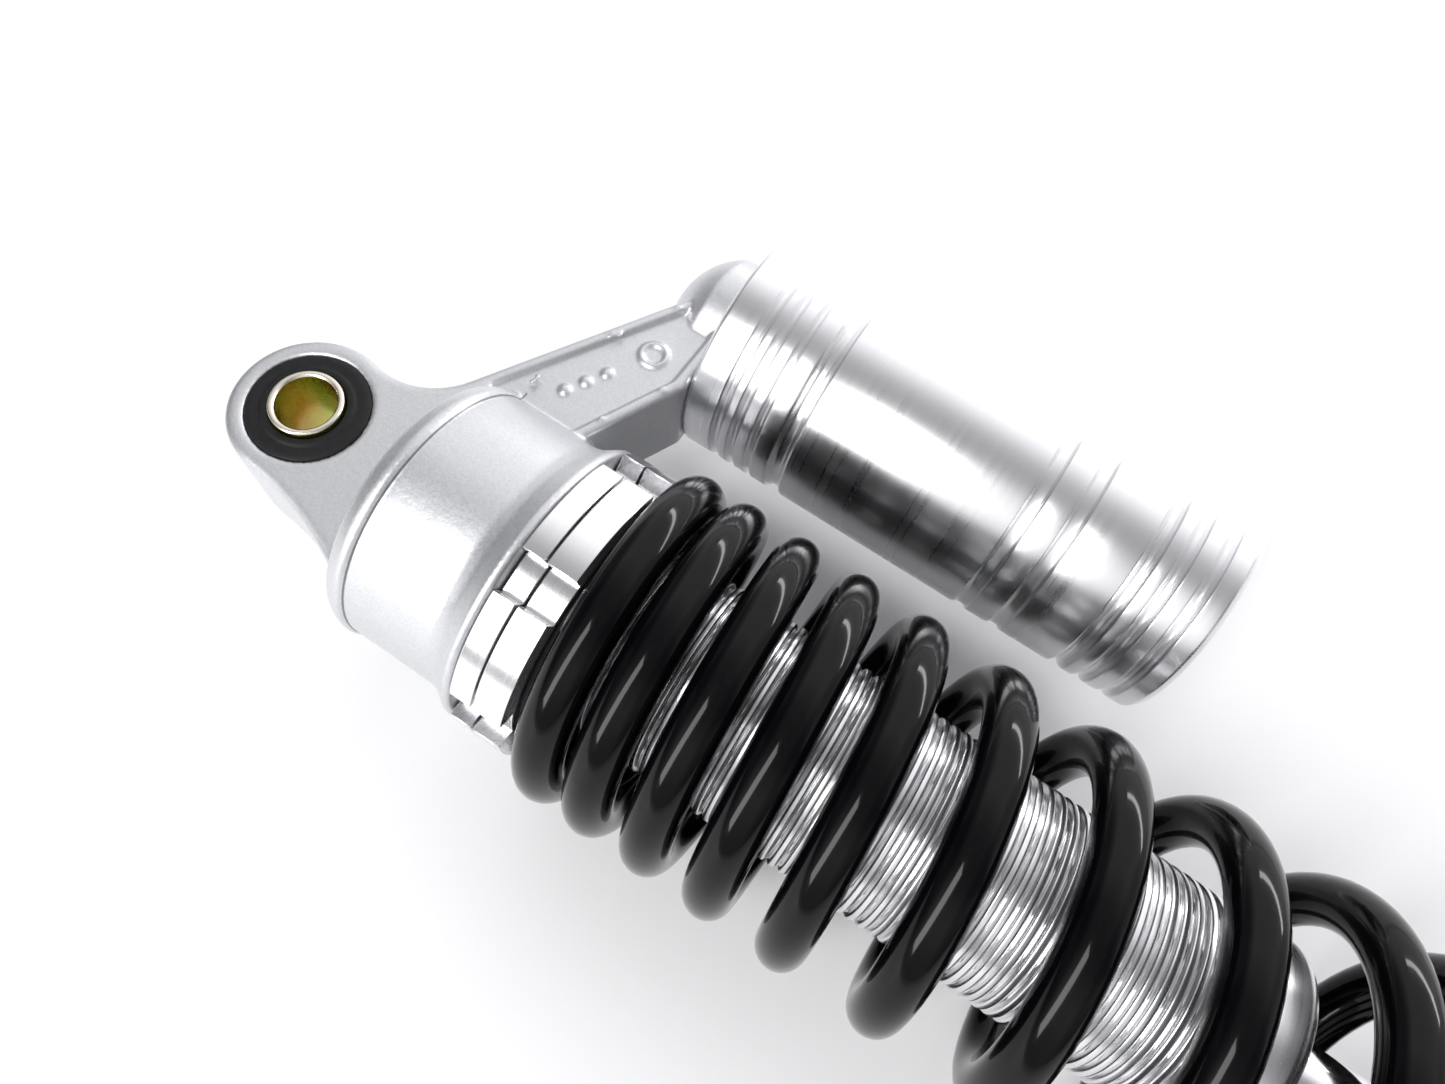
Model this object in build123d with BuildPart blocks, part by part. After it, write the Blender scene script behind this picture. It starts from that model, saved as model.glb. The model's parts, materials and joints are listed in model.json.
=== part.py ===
from build123d import *
import math
import os

# Rear shock absorber with a side reservoir. Millimetres.
# +X runs along the damper from the upper eye to the lower eye, +Y points from the damper to the
# reservoir, and +Z is the axis of the two mounting eyes. The origin is the centre of the upper eye.

# ---------------------------------------------------------------- driving dimensions
eye_to_eye = 320.0
stroke = 56.0

# Mounting eyes: steel sleeve, rubber bush, cast eye
sleeve_bore = 10.0
sleeve_wall = 1.15
sleeve_length = 23.0
bush_diameter = 20.4
bush_length = 20.6
eye_radius = 13.4
eye_width = 20.0

# Head casting
flange_start = 21.9
flange_radius = 24.2
flange_length = 4.6
flange_groove_depth = 0.35
head_radius = 23.6
head_end = 49.1
head_flare_length = 6.2
head_flare_radius = 26.0
head_cavity_radius = 14.5
head_wall = 2.7
arm_angle = 61.0
arm_low_angle = 66.0
web_low_angle = 3.7
arm_pocket_depth = 1.2
arm_rim = 2.2
arm_lower_run = 34.0
boss_radius = 13.0
boss_start = 33.6
boss_dome = 8.0
oil_way_radius = 2.5
oil_port_radius = 3.5

# Damper tube, outside thread and rod guide
tube_radius = 17.0
tube_bore = 14.0
tube_seat = 31.6
tube_end = 175.1
tube_end_round = 3.0
thread_pitch = 2.0
thread_depth = 0.95
thread_start = 50.1
thread_end = 168.1
guide_bore = 14.6
guide_seat = 154.1
guide_length = 13.0
circlip_wire = 1.5

# Spanner rings
ring_gap = 0.3
lock_ring_width = 3.9
ring_spacing = 0.4
adjuster_ring_width = 5.2
ring_overhang = 0.7
notch_depth = 3.2
notch_count = 6
notch_angle = 18.0
first_notch = 107.5
preload_turns = 3.25
guide_flange_overlap = 0.7
guide_flange_thickness = 1.2
guide_collar_length = 6.0

# Spring
wire_diameter = 8.0
spring_radius = 25.5
tip_angle = -145.0
closed_turns = 1.0
main_pitch = 21.4
closed_pitch = 8.15
# Rising pitch of the progressive end: turns counted from the tip, and the pitch there
pitch_rise = [(1.0, 8.15), (1.6, 10.0), (3.4, 11.2), (4.5, 13.0), (5.5, 16.5), (6.5, 18.8), (8.0, 21.4)]
pitch_fall_turns = 0.8

# Rod and piston
rod_radius = 6.0
stem_radius = 4.0
piston_length = 12.0
top_out_length = 5.7
shim_thickness = 0.3
shim_radii = [12.0, 10.5, 9.0, 7.5]
nut_radius = 7.5
nut_height = 6.0
port_count = 8
port_circle = 9.0
port_radius = 1.4

# Lower mount and spring seat
seat_to_eye = 58.0
seat_thickness = 6.0
seat_rim = 1.5
seat_collar_length = 7.0
mount_radius = 13.0
shoulder_radius = 19.0
shoulder_length = 5.0
rod_engagement = 26.0
bump_length = 20.0
bump_radius = 11.5

# Reservoir
reservoir_offset = 61.2
reservoir_start = 47.9
reservoir_end = 142.1
reservoir_radius = 21.5
reservoir_bore = 18.0
neck_wall = 6.7
neck_radius = 10.0
cap_face = 132.1
cap_length = 12.0
floating_piston_start = 80.1
floating_piston_length = 14.0
valve_length = 11.0
valve_radius = 3.9
valve_hole = 1.5
valve_shank_radius = 3.0
valve_shoulder_radius = 6.0
valve_cap_wall = 1.1

# Clearances
running = 0.05
band_running = 0.03
seated = 0.05
open_gap = 0.3

# ---------------------------------------------------------------- sizes that follow
sleeve_radius = sleeve_bore / 2 + sleeve_wall
bush_radius = bush_diameter / 2
head_cavity_start = flange_start + head_wall
lock_ring_start = head_end + ring_gap
lock_ring_end = lock_ring_start + lock_ring_width
adjuster_start = lock_ring_end + ring_spacing
spring_start = adjuster_start + adjuster_ring_width
seat_face = eye_to_eye - seat_to_eye
wire_radius = wire_diameter / 2
spring_bore = spring_radius - wire_radius
ring_radius = spring_radius + ring_overhang
notch_floor = ring_radius - notch_depth
guide_flange = spring_bore + guide_flange_overlap
seat_radius = spring_radius + wire_radius + seat_rim
guide_end = guide_seat + guide_length
clip_end = guide_end + circlip_wire
top_out_end = guide_seat - open_gap
piston_end = top_out_end - top_out_length
shim_stack = shim_thickness * len(shim_radii)
piston_start = piston_end - shim_stack - piston_length
nut_start = piston_start - shim_stack - nut_height
mount_top = seat_face - seat_collar_length + 3.0
arm_direction = Vector(math.cos(math.radians(arm_angle)), math.sin(math.radians(arm_angle)))
arm_normal = Vector(math.sin(math.radians(arm_angle)), -math.cos(math.radians(arm_angle)))
low_direction = Vector(math.cos(math.radians(arm_low_angle)), math.sin(math.radians(arm_low_angle)))
low_normal = Vector(math.sin(math.radians(arm_low_angle)), -math.cos(math.radians(arm_low_angle)))
reservoir_axis = Axis((0, reservoir_offset, 0), (1, 0, 0))
reservoir_plane = Plane(origin=(0, reservoir_offset, 0))

os.makedirs("parts", exist_ok=True)


def finish(piece, label):
    """Name one finished piece and write it to its own file."""
    piece.part.label = label
    export_step(piece.part, f"parts/{label}.step")


def turned(label, corners, offset=0.0):
    """A piece turned about X: its closed half-outline is a list of (x, radius) corners."""
    with BuildPart() as piece:
        with BuildSketch(Plane(origin=(0, offset, 0))):
            with BuildLine():
                Polyline(*corners, close=True)
            make_face()
        revolve(axis=Axis((0, offset, 0), (1, 0, 0)))
    finish(piece, label)


def ring(label, start, end, inner, outer, offset=0.0):
    """A plain turned ring between two radii."""
    turned(label, [(start, inner), (end, inner), (end, outer), (start, outer)], offset)


def o_ring(label, middle, floor, cord, offset=0.0):
    """A round-section seal ring that lies on a groove floor of the given radius."""
    with BuildPart() as piece:
        with BuildSketch(Plane(origin=(0, offset, 0))):
            with Locations((middle, floor + cord / 2)):
                Circle(cord / 2)
        revolve(axis=Axis((0, offset, 0), (1, 0, 0)))
    finish(piece, label)


# ---------------------------------------------------------------- head casting
# The arm leaves the eye on a concave arc and runs straight to the reservoir seat, and it widens
# towards the barrel.
blend_radius = eye_radius
blend_centre_angle = 77.3
blend_centre = Vector(
    2 * eye_radius * math.cos(math.radians(blend_centre_angle)),
    2 * eye_radius * math.sin(math.radians(blend_centre_angle)),
)
blend_start = blend_centre * 0.5
blend_end = blend_centre + arm_normal * blend_radius
blend_middle_angle = (blend_centre_angle + 180 + arm_angle - 90 + 360) / 2
blend_middle = blend_centre + Vector(
    blend_radius * math.cos(math.radians(blend_middle_angle)),
    blend_radius * math.sin(math.radians(blend_middle_angle)),
)
arm_top_run = (reservoir_start - blend_end.X) / arm_direction.X
arm_top_end = blend_end + arm_direction * arm_top_run
arm_low_end = Vector(reservoir_start, reservoir_offset - reservoir_radius)
arm_low_start = arm_low_end - low_direction * arm_lower_run
web_low_end = Vector(flange_start + 1.0, -20.0)
web_low_tangent = Vector(math.cos(math.radians(web_low_angle)), -math.sin(math.radians(web_low_angle)))
web_low_start = Vector(web_low_tangent.Y, -web_low_tangent.X) * eye_radius

with BuildPart() as head_casting:
    # Flat plate: eye, web under the flange, and the arm
    with BuildSketch(Plane.XY):
        Circle(eye_radius)
        with BuildLine():
            Line((0, 0), blend_start)
            ThreePointArc(blend_start, blend_middle, blend_end)
            Line(blend_end, arm_top_end)
            Line(arm_top_end, arm_low_end)
            Line(arm_low_end, arm_low_start)
            Line(arm_low_start, web_low_end)
            TangentArc(web_low_start, web_low_end, tangent=web_low_tangent)
            Line(web_low_start, (0, 0))
        make_face()
    extrude(amount=eye_width / 2, both=True)
    flat_faces = head_casting.faces().filter_by(Axis.Z)
    fillet(flat_faces.edges(), 1.2)

    # Pockets on both faces of the arm leave a raised rim all round
    pocket_top = blend_end + arm_normal * arm_rim
    pocket_far = reservoir_start - arm_rim
    pocket_low = arm_low_end - low_normal * arm_rim
    for side in (1, -1):
        with BuildSketch(Plane.XY.offset(side * (eye_width / 2 - arm_pocket_depth))) as pocket:
            with BuildLine():
                top_far = pocket_top + arm_direction * ((pocket_far - pocket_top.X) / arm_direction.X)
                low_far = pocket_low + low_direction * ((pocket_far - pocket_low.X) / low_direction.X)
                Polyline(
                    pocket_top + arm_direction * 3.0,
                    top_far,
                    low_far,
                    pocket_low - low_direction * arm_lower_run,
                    close=True,
                )
            make_face()
            fillet(pocket.vertices(), 1.0)
        extrude(amount=side * arm_pocket_depth * 2, mode=Mode.SUBTRACT)

    # Barrel that holds the damper tube
    groove_start = flange_start + flange_length - 0.3
    flare_start = head_end - head_flare_length
    with BuildSketch(Plane.XY):
        with BuildLine():
            Polyline(
                (flange_start, 0),
                (flange_start, flange_radius - 3.0),
                (flange_start + 0.9, flange_radius - 0.9),
                (flange_start + 3.0, flange_radius),
                (groove_start, flange_radius),
                (groove_start + 0.2, head_radius - flange_groove_depth),
                (groove_start + 0.5, head_radius - flange_groove_depth),
                (groove_start + 0.7, head_radius),
                (flare_start, head_radius),
                (flare_start + 2.0, head_radius + 0.5),
                (head_end - 1.2, head_flare_radius),
                (head_end, head_flare_radius - 0.2),
                (head_end, 0),
                close=True,
            )
        make_face()
    revolve(axis=Axis.X)

    # Domed boss behind the reservoir, and the spigot that screws into the reservoir's neck
    dome_end = boss_start + boss_dome
    dome_radius = (boss_radius ** 2 + boss_dome ** 2) / (2 * boss_dome)
    with BuildSketch(reservoir_plane):
        with BuildLine():
            Line((boss_start, 0), (reservoir_start, 0))
            Line((reservoir_start, 0), (reservoir_start, boss_radius))
            Line((reservoir_start, boss_radius), (dome_end, boss_radius))
            RadiusArc((dome_end, boss_radius), (boss_start, 0), -dome_radius)
        make_face()
    revolve(axis=reservoir_axis)
    with BuildSketch(Plane.YZ.offset(reservoir_start)):
        with Locations((reservoir_offset, 0)):
            Circle(neck_radius)
    extrude(amount=neck_wall)

    # Bores: eye, oil chamber, seat for the damper tube, and the oil way to the reservoir
    with BuildSketch(Plane.XY.offset(-eye_width)):
        Circle(bush_radius)
    extrude(amount=eye_width * 2, mode=Mode.SUBTRACT)
    with BuildSketch(Plane.YZ.offset(head_cavity_start)):
        Circle(head_cavity_radius)
    extrude(amount=head_end - head_cavity_start, mode=Mode.SUBTRACT)
    with BuildSketch(Plane.YZ.offset(tube_seat)):
        Circle(tube_radius + seated)
    extrude(amount=head_end - tube_seat, mode=Mode.SUBTRACT)
    oil_way_end = Vector(reservoir_start - 3.0, reservoir_offset, 0)
    oil_way_start = Vector(head_cavity_start + 3.6, head_cavity_radius - 3.0, 0)
    oil_way = oil_way_end - oil_way_start
    with BuildSketch(Plane(origin=oil_way_start, z_dir=oil_way)):
        Circle(oil_way_radius)
    extrude(amount=oil_way.length, mode=Mode.SUBTRACT)
    with BuildSketch(Plane.YZ.offset(reservoir_start - 5.0)):
        with Locations((reservoir_offset, 0)):
            Circle(oil_port_radius)
    extrude(amount=neck_wall + 6.0, mode=Mode.SUBTRACT)
    # Plain raised marks on the arm: a ring and a row of dots
    mark_base = blend_end + arm_normal * 8.0
    with BuildSketch(Plane.XY.offset(eye_width / 2 - arm_pocket_depth)):
        with Locations(mark_base + arm_direction * 31.0):
            Circle(2.6)
            Circle(2.0, mode=Mode.SUBTRACT)
        for step in range(3):
            with Locations(mark_base + arm_direction * (14.0 + 4.0 * step)):
                Circle(0.9)
    extrude(amount=0.6)
finish(head_casting, "head_casting")

# ---------------------------------------------------------------- mounting bushes and sleeves
for label, centre in (("upper", 0.0), ("lower", eye_to_eye)):
    with BuildPart() as bush:
        with BuildSketch(Plane.XY.offset(-bush_length / 2)):
            with Locations((centre, 0)):
                Circle(bush_radius)
                Circle(sleeve_radius + running, mode=Mode.SUBTRACT)
        extrude(amount=bush_length)
    finish(bush, f"{label}_bush")
    with BuildPart() as sleeve:
        with BuildSketch(Plane.XY.offset(-sleeve_length / 2)):
            with Locations((centre, 0)):
                Circle(sleeve_radius)
                Circle(sleeve_bore / 2, mode=Mode.SUBTRACT)
        extrude(amount=sleeve_length)
        sleeve_ends = sleeve.faces().filter_by(Axis.Z)
        chamfer(sleeve_ends.edges(), 0.3)
    finish(sleeve, f"{label}_sleeve")

# ---------------------------------------------------------------- damper tube
thread_count = int((thread_end - thread_start) / thread_pitch)
tube_corners = [(tube_seat, tube_bore), (tube_seat, tube_radius)]
for turn in range(thread_count):
    crest = thread_start + turn * thread_pitch
    tube_corners.append((crest + thread_pitch * 0.06, tube_radius))
    tube_corners.append((crest + thread_pitch * 0.47, tube_radius - thread_depth))
    tube_corners.append((crest + thread_pitch * 0.53, tube_radius - thread_depth))
    tube_corners.append((crest + thread_pitch * 0.94, tube_radius))
clip_groove = guide_bore + 0.9
tube_corners += [
    (tube_end - tube_end_round, tube_radius),
    (tube_end - tube_end_round * 0.3, tube_radius - tube_end_round * 0.3),
    (tube_end, tube_radius - tube_end_round + 0.9),
    (tube_end, guide_bore - 0.6),
    (tube_end - 1.0, guide_bore - 0.6),
    (tube_end - 1.0, guide_bore),
    (clip_end + running, guide_bore),
    (clip_end + running, clip_groove),
    (guide_end, clip_groove),
    (guide_end, guide_bore),
    (guide_seat, guide_bore),
    (guide_seat, tube_bore),
]
turned("damper_tube", tube_corners)

# ---------------------------------------------------------------- rod guide, seals and circlip
seal_groove = rod_radius + 3.0
wiper_seat = clip_end + 1.2
turned("rod_guide", [
    (guide_seat, rod_radius + 1.5),
    (guide_seat + 7.0, rod_radius + 1.5),
    (guide_seat + 7.0, seal_groove),
    (guide_end, seal_groove),
    (guide_end, guide_bore - seated),
    (guide_seat + 6.0, guide_bore - seated),
    (guide_seat + 6.0, guide_bore - 1.6),
    (guide_seat + 3.6, guide_bore - 1.6),
    (guide_seat + 3.6, guide_bore - seated),
    (guide_seat, guide_bore - seated),
])
ring("guide_bushing", guide_seat, guide_seat + 6.8, rod_radius + running, rod_radius + 1.45)
ring("rod_seal", guide_seat + 7.0, guide_seat + 11.0, rod_radius + running, seal_groove - seated)
ring("seal_backup_ring", guide_seat + 11.0, guide_end, rod_radius + open_gap, seal_groove - seated)
o_ring("guide_o_ring", guide_seat + 4.8, guide_bore - 1.6, 1.5)
with BuildPart() as guide_circlip:
    with BuildSketch(Plane.YZ.offset(guide_end)):
        Circle(clip_groove - running)
        Circle(guide_bore - 1.6, mode=Mode.SUBTRACT)
        with Locations((-guide_bore, 0)):
            Rectangle(6.0, 5.0, mode=Mode.SUBTRACT)
    extrude(amount=circlip_wire)
finish(guide_circlip, "guide_circlip")
turned("dust_wiper", [
    (wiper_seat, rod_radius + running),
    (tube_end + 1.0, rod_radius + running),
    (tube_end - 1.0, rod_radius + 3.0),
    (tube_end - 1.0, guide_bore - seated),
    (wiper_seat, guide_bore - seated),
])
o_ring("tube_o_ring", tube_seat - 0.7, tube_bore - 0.9, 1.3)

# ---------------------------------------------------------------- spanner rings and spring guide
def spanner_ring(label, start, end, recess):
    """A threaded ring with square spanner notches cut right across its rim."""
    with BuildPart() as piece:
        with BuildSketch(Plane.YZ.offset(start)):
            Circle(ring_radius)
        extrude(amount=end - start)
        rim = piece.edges().filter_by(GeomType.CIRCLE)
        chamfer(rim, 0.35)
        notch_width = 2 * notch_floor * math.sin(math.radians(notch_angle / 2))
        with BuildSketch(Plane.YZ.offset(start)):
            with PolarLocations(notch_floor + notch_depth, notch_count, start_angle=first_notch):
                Rectangle(notch_depth * 2, notch_width)
        extrude(amount=end - start, mode=Mode.SUBTRACT)
        with BuildSketch(Plane.YZ.offset(start)):
            Circle(tube_radius + running)
        extrude(amount=end - start, mode=Mode.SUBTRACT)
        if recess:
            with BuildSketch(Plane.YZ.offset(end)):
                Circle(guide_flange + open_gap)
            extrude(amount=-guide_flange_thickness, mode=Mode.SUBTRACT)
    finish(piece, label)


spanner_ring("lock_ring", lock_ring_start, lock_ring_end, recess=False)
spanner_ring("adjuster_ring", adjuster_start, spring_start, recess=True)
turned("spring_guide", [
    (spring_start - guide_flange_thickness, tube_radius + open_gap),
    (spring_start + guide_collar_length, tube_radius + open_gap),
    (spring_start + guide_collar_length, spring_bore - open_gap - 0.5),
    (spring_start + guide_collar_length - 1.0, spring_bore - open_gap),
    (spring_start, spring_bore - open_gap),
    (spring_start, guide_flange),
    (spring_start - guide_flange_thickness, guide_flange),
])

# ---------------------------------------------------------------- coil spring
# The pitch rises along the progressive end, stays constant, and falls to the closed lower end.
spring_length = seat_face - spring_start
tip_inset = 0.2


def ramp_length(spans):
    """Length that a run of linearly changing pitch covers."""
    total = 0.0
    for (turn_a, pitch_a), (turn_b, pitch_b) in zip(spans, spans[1:]):
        total += (turn_b - turn_a) * (pitch_a + pitch_b) / 2
    return total


rise = [(0.0, closed_pitch)] + pitch_rise
end_length = ramp_length(rise) + pitch_fall_turns * (main_pitch + closed_pitch) / 2
end_length += closed_turns * closed_pitch
main_turns = (spring_length + 2 * tip_inset - end_length) / main_pitch
main_end = rise[-1][0] + main_turns
fall_end = main_end + pitch_fall_turns
total_turns = fall_end + closed_turns
pitch_plan = rise + [(main_end, main_pitch), (fall_end, closed_pitch), (total_turns, closed_pitch)]


def along_spring(turn):
    """Distance along the axis from the first tip after so many turns."""
    total = 0.0
    for (turn_a, pitch_a), (turn_b, pitch_b) in zip(pitch_plan, pitch_plan[1:]):
        if turn <= turn_a:
            break
        part = min(turn, turn_b) - turn_a
        pitch_here = pitch_a + (pitch_b - pitch_a) * part / (turn_b - turn_a)
        total += part * (pitch_a + pitch_here) / 2
    return total


def spring_point(turn):
    """Centre of the wire after so many turns, on a right-hand coil about +X."""
    angle = math.radians(tip_angle + 360 * turn)
    x = spring_start - tip_inset + along_spring(turn)
    return Vector(x, spring_radius * math.cos(angle), spring_radius * math.sin(angle))


points_per_turn = 10
point_count = int(total_turns * points_per_turn)
spring_points = [spring_point(total_turns * step / point_count) for step in range(point_count + 1)]
with BuildPart() as coil_spring:
    with BuildLine() as coil:
        Spline(*spring_points)
    with BuildSketch(Plane(origin=coil.line @ 0, z_dir=coil.line % 0)):
        Circle(wire_radius)
    sweep(path=coil.line, is_frenet=True)
    # Both ends are ground flat
    with BuildSketch(Plane.YZ.offset(spring_start)):
        Circle(spring_radius + wire_diameter)
    extrude(amount=-wire_diameter, mode=Mode.SUBTRACT)
    with BuildSketch(Plane.YZ.offset(seat_face)):
        Circle(spring_radius + wire_diameter)
    extrude(amount=wire_diameter, mode=Mode.SUBTRACT)
finish(coil_spring, "coil_spring")
print(f"spring: {total_turns:.2f} turns, free to close by {spring_length - total_turns * wire_diameter:.1f} mm")

# ---------------------------------------------------------------- rod and piston
turned("piston_rod", [
    (nut_start - 1.0, 0),
    (mount_top + rod_engagement, 0),
    (mount_top + rod_engagement, rod_radius),
    (piston_end, rod_radius),
    (piston_end, stem_radius),
    (nut_start - 0.4, stem_radius),
    (nut_start - 1.0, stem_radius - 0.6),
])
with BuildPart() as piston:
    with BuildSketch(Plane.XY):
        with BuildLine():
            Polyline(
                (piston_start, stem_radius + seated),
                (piston_start + piston_length, stem_radius + seated),
                (piston_start + piston_length, tube_bore - open_gap),
                (piston_start + 9.0, tube_bore - open_gap),
                (piston_start + 9.0, tube_bore - 1.3),
                (piston_start + 3.0, tube_bore - 1.3),
                (piston_start + 3.0, tube_bore - open_gap),
                (piston_start, tube_bore - open_gap),
                close=True,
            )
        make_face()
    revolve(axis=Axis.X)
    # Flow ports, alternately for compression and rebound
    with BuildSketch(Plane.YZ.offset(piston_start)):
        with PolarLocations(port_circle, port_count):
            Circle(port_radius)
    extrude(amount=piston_length, mode=Mode.SUBTRACT)
finish(piston, "piston")
ring("piston_band", piston_start + 3.05, piston_start + 8.95, tube_bore - 1.25, tube_bore - band_running)
for label, start, direction in (
    ("compression_shims", piston_start, -1),
    ("rebound_shims", piston_end - shim_stack, 1),
):
    with BuildPart() as shims:
        for step, radius in enumerate(shim_radii):
            near = start + direction * step * shim_thickness
            with BuildSketch(Plane.YZ.offset(near)):
                Circle(radius)
                Circle(stem_radius + seated, mode=Mode.SUBTRACT)
            extrude(amount=direction * shim_thickness)
    finish(shims, label)
with BuildPart() as piston_nut:
    with BuildSketch(Plane.YZ.offset(nut_start)):
        RegularPolygon(nut_radius, 6)
        Circle(stem_radius + seated, mode=Mode.SUBTRACT)
    extrude(amount=nut_height)
finish(piston_nut, "piston_nut")
ring("top_out_bumper", piston_end, top_out_end, rod_radius + seated, rod_radius + 4.5)

# ---------------------------------------------------------------- lower end
turned("bump_stop", [
    (mount_top - 1.0 - bump_length, rod_radius + seated),
    (mount_top - 1.0, rod_radius + seated),
    (mount_top - 1.0, bump_radius),
    (mount_top - 1.0 - bump_length * 0.30, bump_radius),
    (mount_top - 1.0 - bump_length * 0.38, bump_radius - 1.6),
    (mount_top - 1.0 - bump_length * 0.46, bump_radius - 0.3),
    (mount_top - 1.0 - bump_length * 0.72, bump_radius - 0.8),
    (mount_top - 1.0 - bump_length * 0.80, bump_radius - 2.4),
    (mount_top - 1.0 - bump_length * 0.88, bump_radius - 1.8),
    (mount_top - 1.0 - bump_length, bump_radius - 3.0),
])
ring("bump_washer", mount_top - 1.0, mount_top, rod_radius + seated, mount_radius - 0.2)
turned("spring_seat", [
    (seat_face - seat_collar_length, mount_radius + seated),
    (seat_face + seat_thickness, mount_radius + seated),
    (seat_face + seat_thickness, seat_radius - 3.0),
    (seat_face + seat_thickness - 1.5, seat_radius - 0.4),
    (seat_face + seat_thickness - 3.0, seat_radius),
    (seat_face, seat_radius),
    (seat_face, spring_bore - open_gap),
    (seat_face - seat_collar_length + 1.5, spring_bore - open_gap),
    (seat_face - seat_collar_length, spring_bore - open_gap - 1.5),
])
shoulder_start = seat_face + seat_thickness
lower_web_start = shoulder_start + shoulder_length
with BuildPart() as lower_mount:
    with BuildSketch(Plane.XY):
        with BuildLine():
            Polyline(
                (mount_top, rod_radius + seated),
                (mount_top, mount_radius - 0.8),
                (mount_top + 0.8, mount_radius),
                (shoulder_start, mount_radius),
                (shoulder_start, shoulder_radius - 0.8),
                (shoulder_start + 0.8, shoulder_radius),
                (lower_web_start - 1.5, shoulder_radius),
                (lower_web_start, shoulder_radius - 1.5),
                (lower_web_start, mount_radius + 1.5),
                (eye_to_eye - eye_radius - 10.0, mount_radius - 0.5),
                (eye_to_eye - eye_radius + 2.0, mount_radius - 3.0),
                (eye_to_eye - eye_radius + 2.0, 0),
                (mount_top + rod_engagement, 0),
                (mount_top + rod_engagement, rod_radius + seated),
                close=True,
            )
        make_face()
    revolve(axis=Axis.X)
    with BuildSketch(Plane.XY):
        with Locations((eye_to_eye, 0)):
            Circle(eye_radius)
        with BuildLine():
            Polyline(
                (lower_web_start, -eye_radius + 3.0),
                (eye_to_eye, -eye_radius),
                (eye_to_eye, eye_radius),
                (lower_web_start, eye_radius - 3.0),
                close=True,
            )
        make_face()
    extrude(amount=eye_width / 2 - 0.01, both=True)
    with BuildSketch(Plane.XY.offset(-eye_width)):
        with Locations((eye_to_eye, 0)):
            Circle(bush_radius)
    extrude(amount=eye_width * 2, mode=Mode.SUBTRACT)
    with BuildSketch(Plane.YZ.offset(mount_top)):
        Circle(rod_radius + seated)
    extrude(amount=rod_engagement, mode=Mode.SUBTRACT)
finish(lower_mount, "lower_mount")

# ---------------------------------------------------------------- reservoir
collar_length = 6.0


def groove(start, width, depth):
    """Corners of one turned groove with sloping walls."""
    outer = reservoir_radius
    slope = min(width * 0.3, depth)
    return [(start, outer), (start + slope, outer - depth),
            (start + width - slope, outer - depth), (start + width, outer)]


# Distance from the reservoir's left rim to each groove, its width and its depth
left_grooves = [(collar_length, 2.4, 1.0), (9.6, 2.1, 1.1), (13.6, 1.7, 1.1), (18.0, 3.9, 1.2)]
middle_grooves = [(58.6, 3.0, 0.6), (65.6, 3.0, 0.6)]
right_grooves = [(78.0, 3.1, 1.1), (82.8, 2.7, 1.1), (87.7, 2.5, 1.1)]
reservoir_corners = [(reservoir_start, neck_radius + seated), (reservoir_start, reservoir_radius - 0.7),
                     (reservoir_start + 0.7, reservoir_radius)]
for place, width, depth in left_grooves + middle_grooves + right_grooves:
    reservoir_corners += groove(reservoir_start + place, width, depth)
cap_groove = reservoir_bore + 1.2
neck_end = reservoir_start + neck_wall
reservoir_corners += [
    (reservoir_end - 1.2, reservoir_radius),
    (reservoir_end, reservoir_radius - 1.2),
    (reservoir_end, reservoir_bore + 0.6),
    (reservoir_end - 0.6, reservoir_bore),
    (cap_face + circlip_wire + running, reservoir_bore),
    (cap_face + circlip_wire + running, cap_groove),
    (cap_face, cap_groove),
    (cap_face, reservoir_bore),
    (neck_end, reservoir_bore),
    (neck_end, neck_radius + seated),
]
turned("reservoir_body", reservoir_corners, reservoir_offset)
o_ring("neck_o_ring", neck_end + 0.8, neck_radius - 1.5, 1.5, reservoir_offset)
cap_start = cap_face - cap_length
turned("reservoir_cap", [
    (cap_start, valve_shank_radius),
    (cap_face, valve_shank_radius),
    (cap_face, reservoir_bore - seated),
    (cap_start + 6.0, reservoir_bore - seated),
    (cap_start + 6.0, reservoir_bore - 1.6),
    (cap_start + 3.6, reservoir_bore - 1.6),
    (cap_start + 3.6, reservoir_bore - seated),
    (cap_start, reservoir_bore - seated),
], reservoir_offset)
o_ring("cap_o_ring", cap_start + 4.8, reservoir_bore - 1.6, 1.5, reservoir_offset)
with BuildPart() as cap_circlip:
    with BuildSketch(Plane.YZ.offset(cap_face)):
        with Locations((reservoir_offset, 0)):
            Circle(cap_groove - running)
            Circle(reservoir_bore - 1.6, mode=Mode.SUBTRACT)
        with Locations((reservoir_offset + reservoir_bore, 0)):
            Rectangle(6.0, 5.0, mode=Mode.SUBTRACT)
    extrude(amount=circlip_wire)
finish(cap_circlip, "cap_circlip")
valve_end = cap_face + valve_length
turned("valve_body", [
    (cap_start - 2.0, valve_hole),
    (valve_end, valve_hole),
    (valve_end, valve_radius),
    (cap_face + 2.0, valve_radius),
    (cap_face + 2.0, valve_shoulder_radius),
    (cap_face, valve_shoulder_radius),
    (cap_face, valve_shank_radius - seated),
    (cap_start - 2.0, valve_shank_radius - seated),
], reservoir_offset)
pin_start = valve_end - 6.0
turned("valve_pin", [
    (pin_start, 0),
    (valve_end - 0.5, 0),
    (valve_end - 0.5, 0.7),
    (valve_end - 3.0, 0.7),
    (valve_end - 3.0, valve_hole - running),
    (pin_start, valve_hole - running),
], reservoir_offset)
cap_inside = valve_end + open_gap
turned("valve_cap", [
    (cap_face + 3.0, valve_radius + running),
    (cap_inside, valve_radius + running),
    (cap_inside, 0),
    (cap_inside + valve_cap_wall, 0),
    (cap_inside + valve_cap_wall, valve_radius),
    (cap_inside + 0.3, valve_radius + valve_cap_wall),
    (cap_face + 3.0, valve_radius + valve_cap_wall),
], reservoir_offset)
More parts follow.
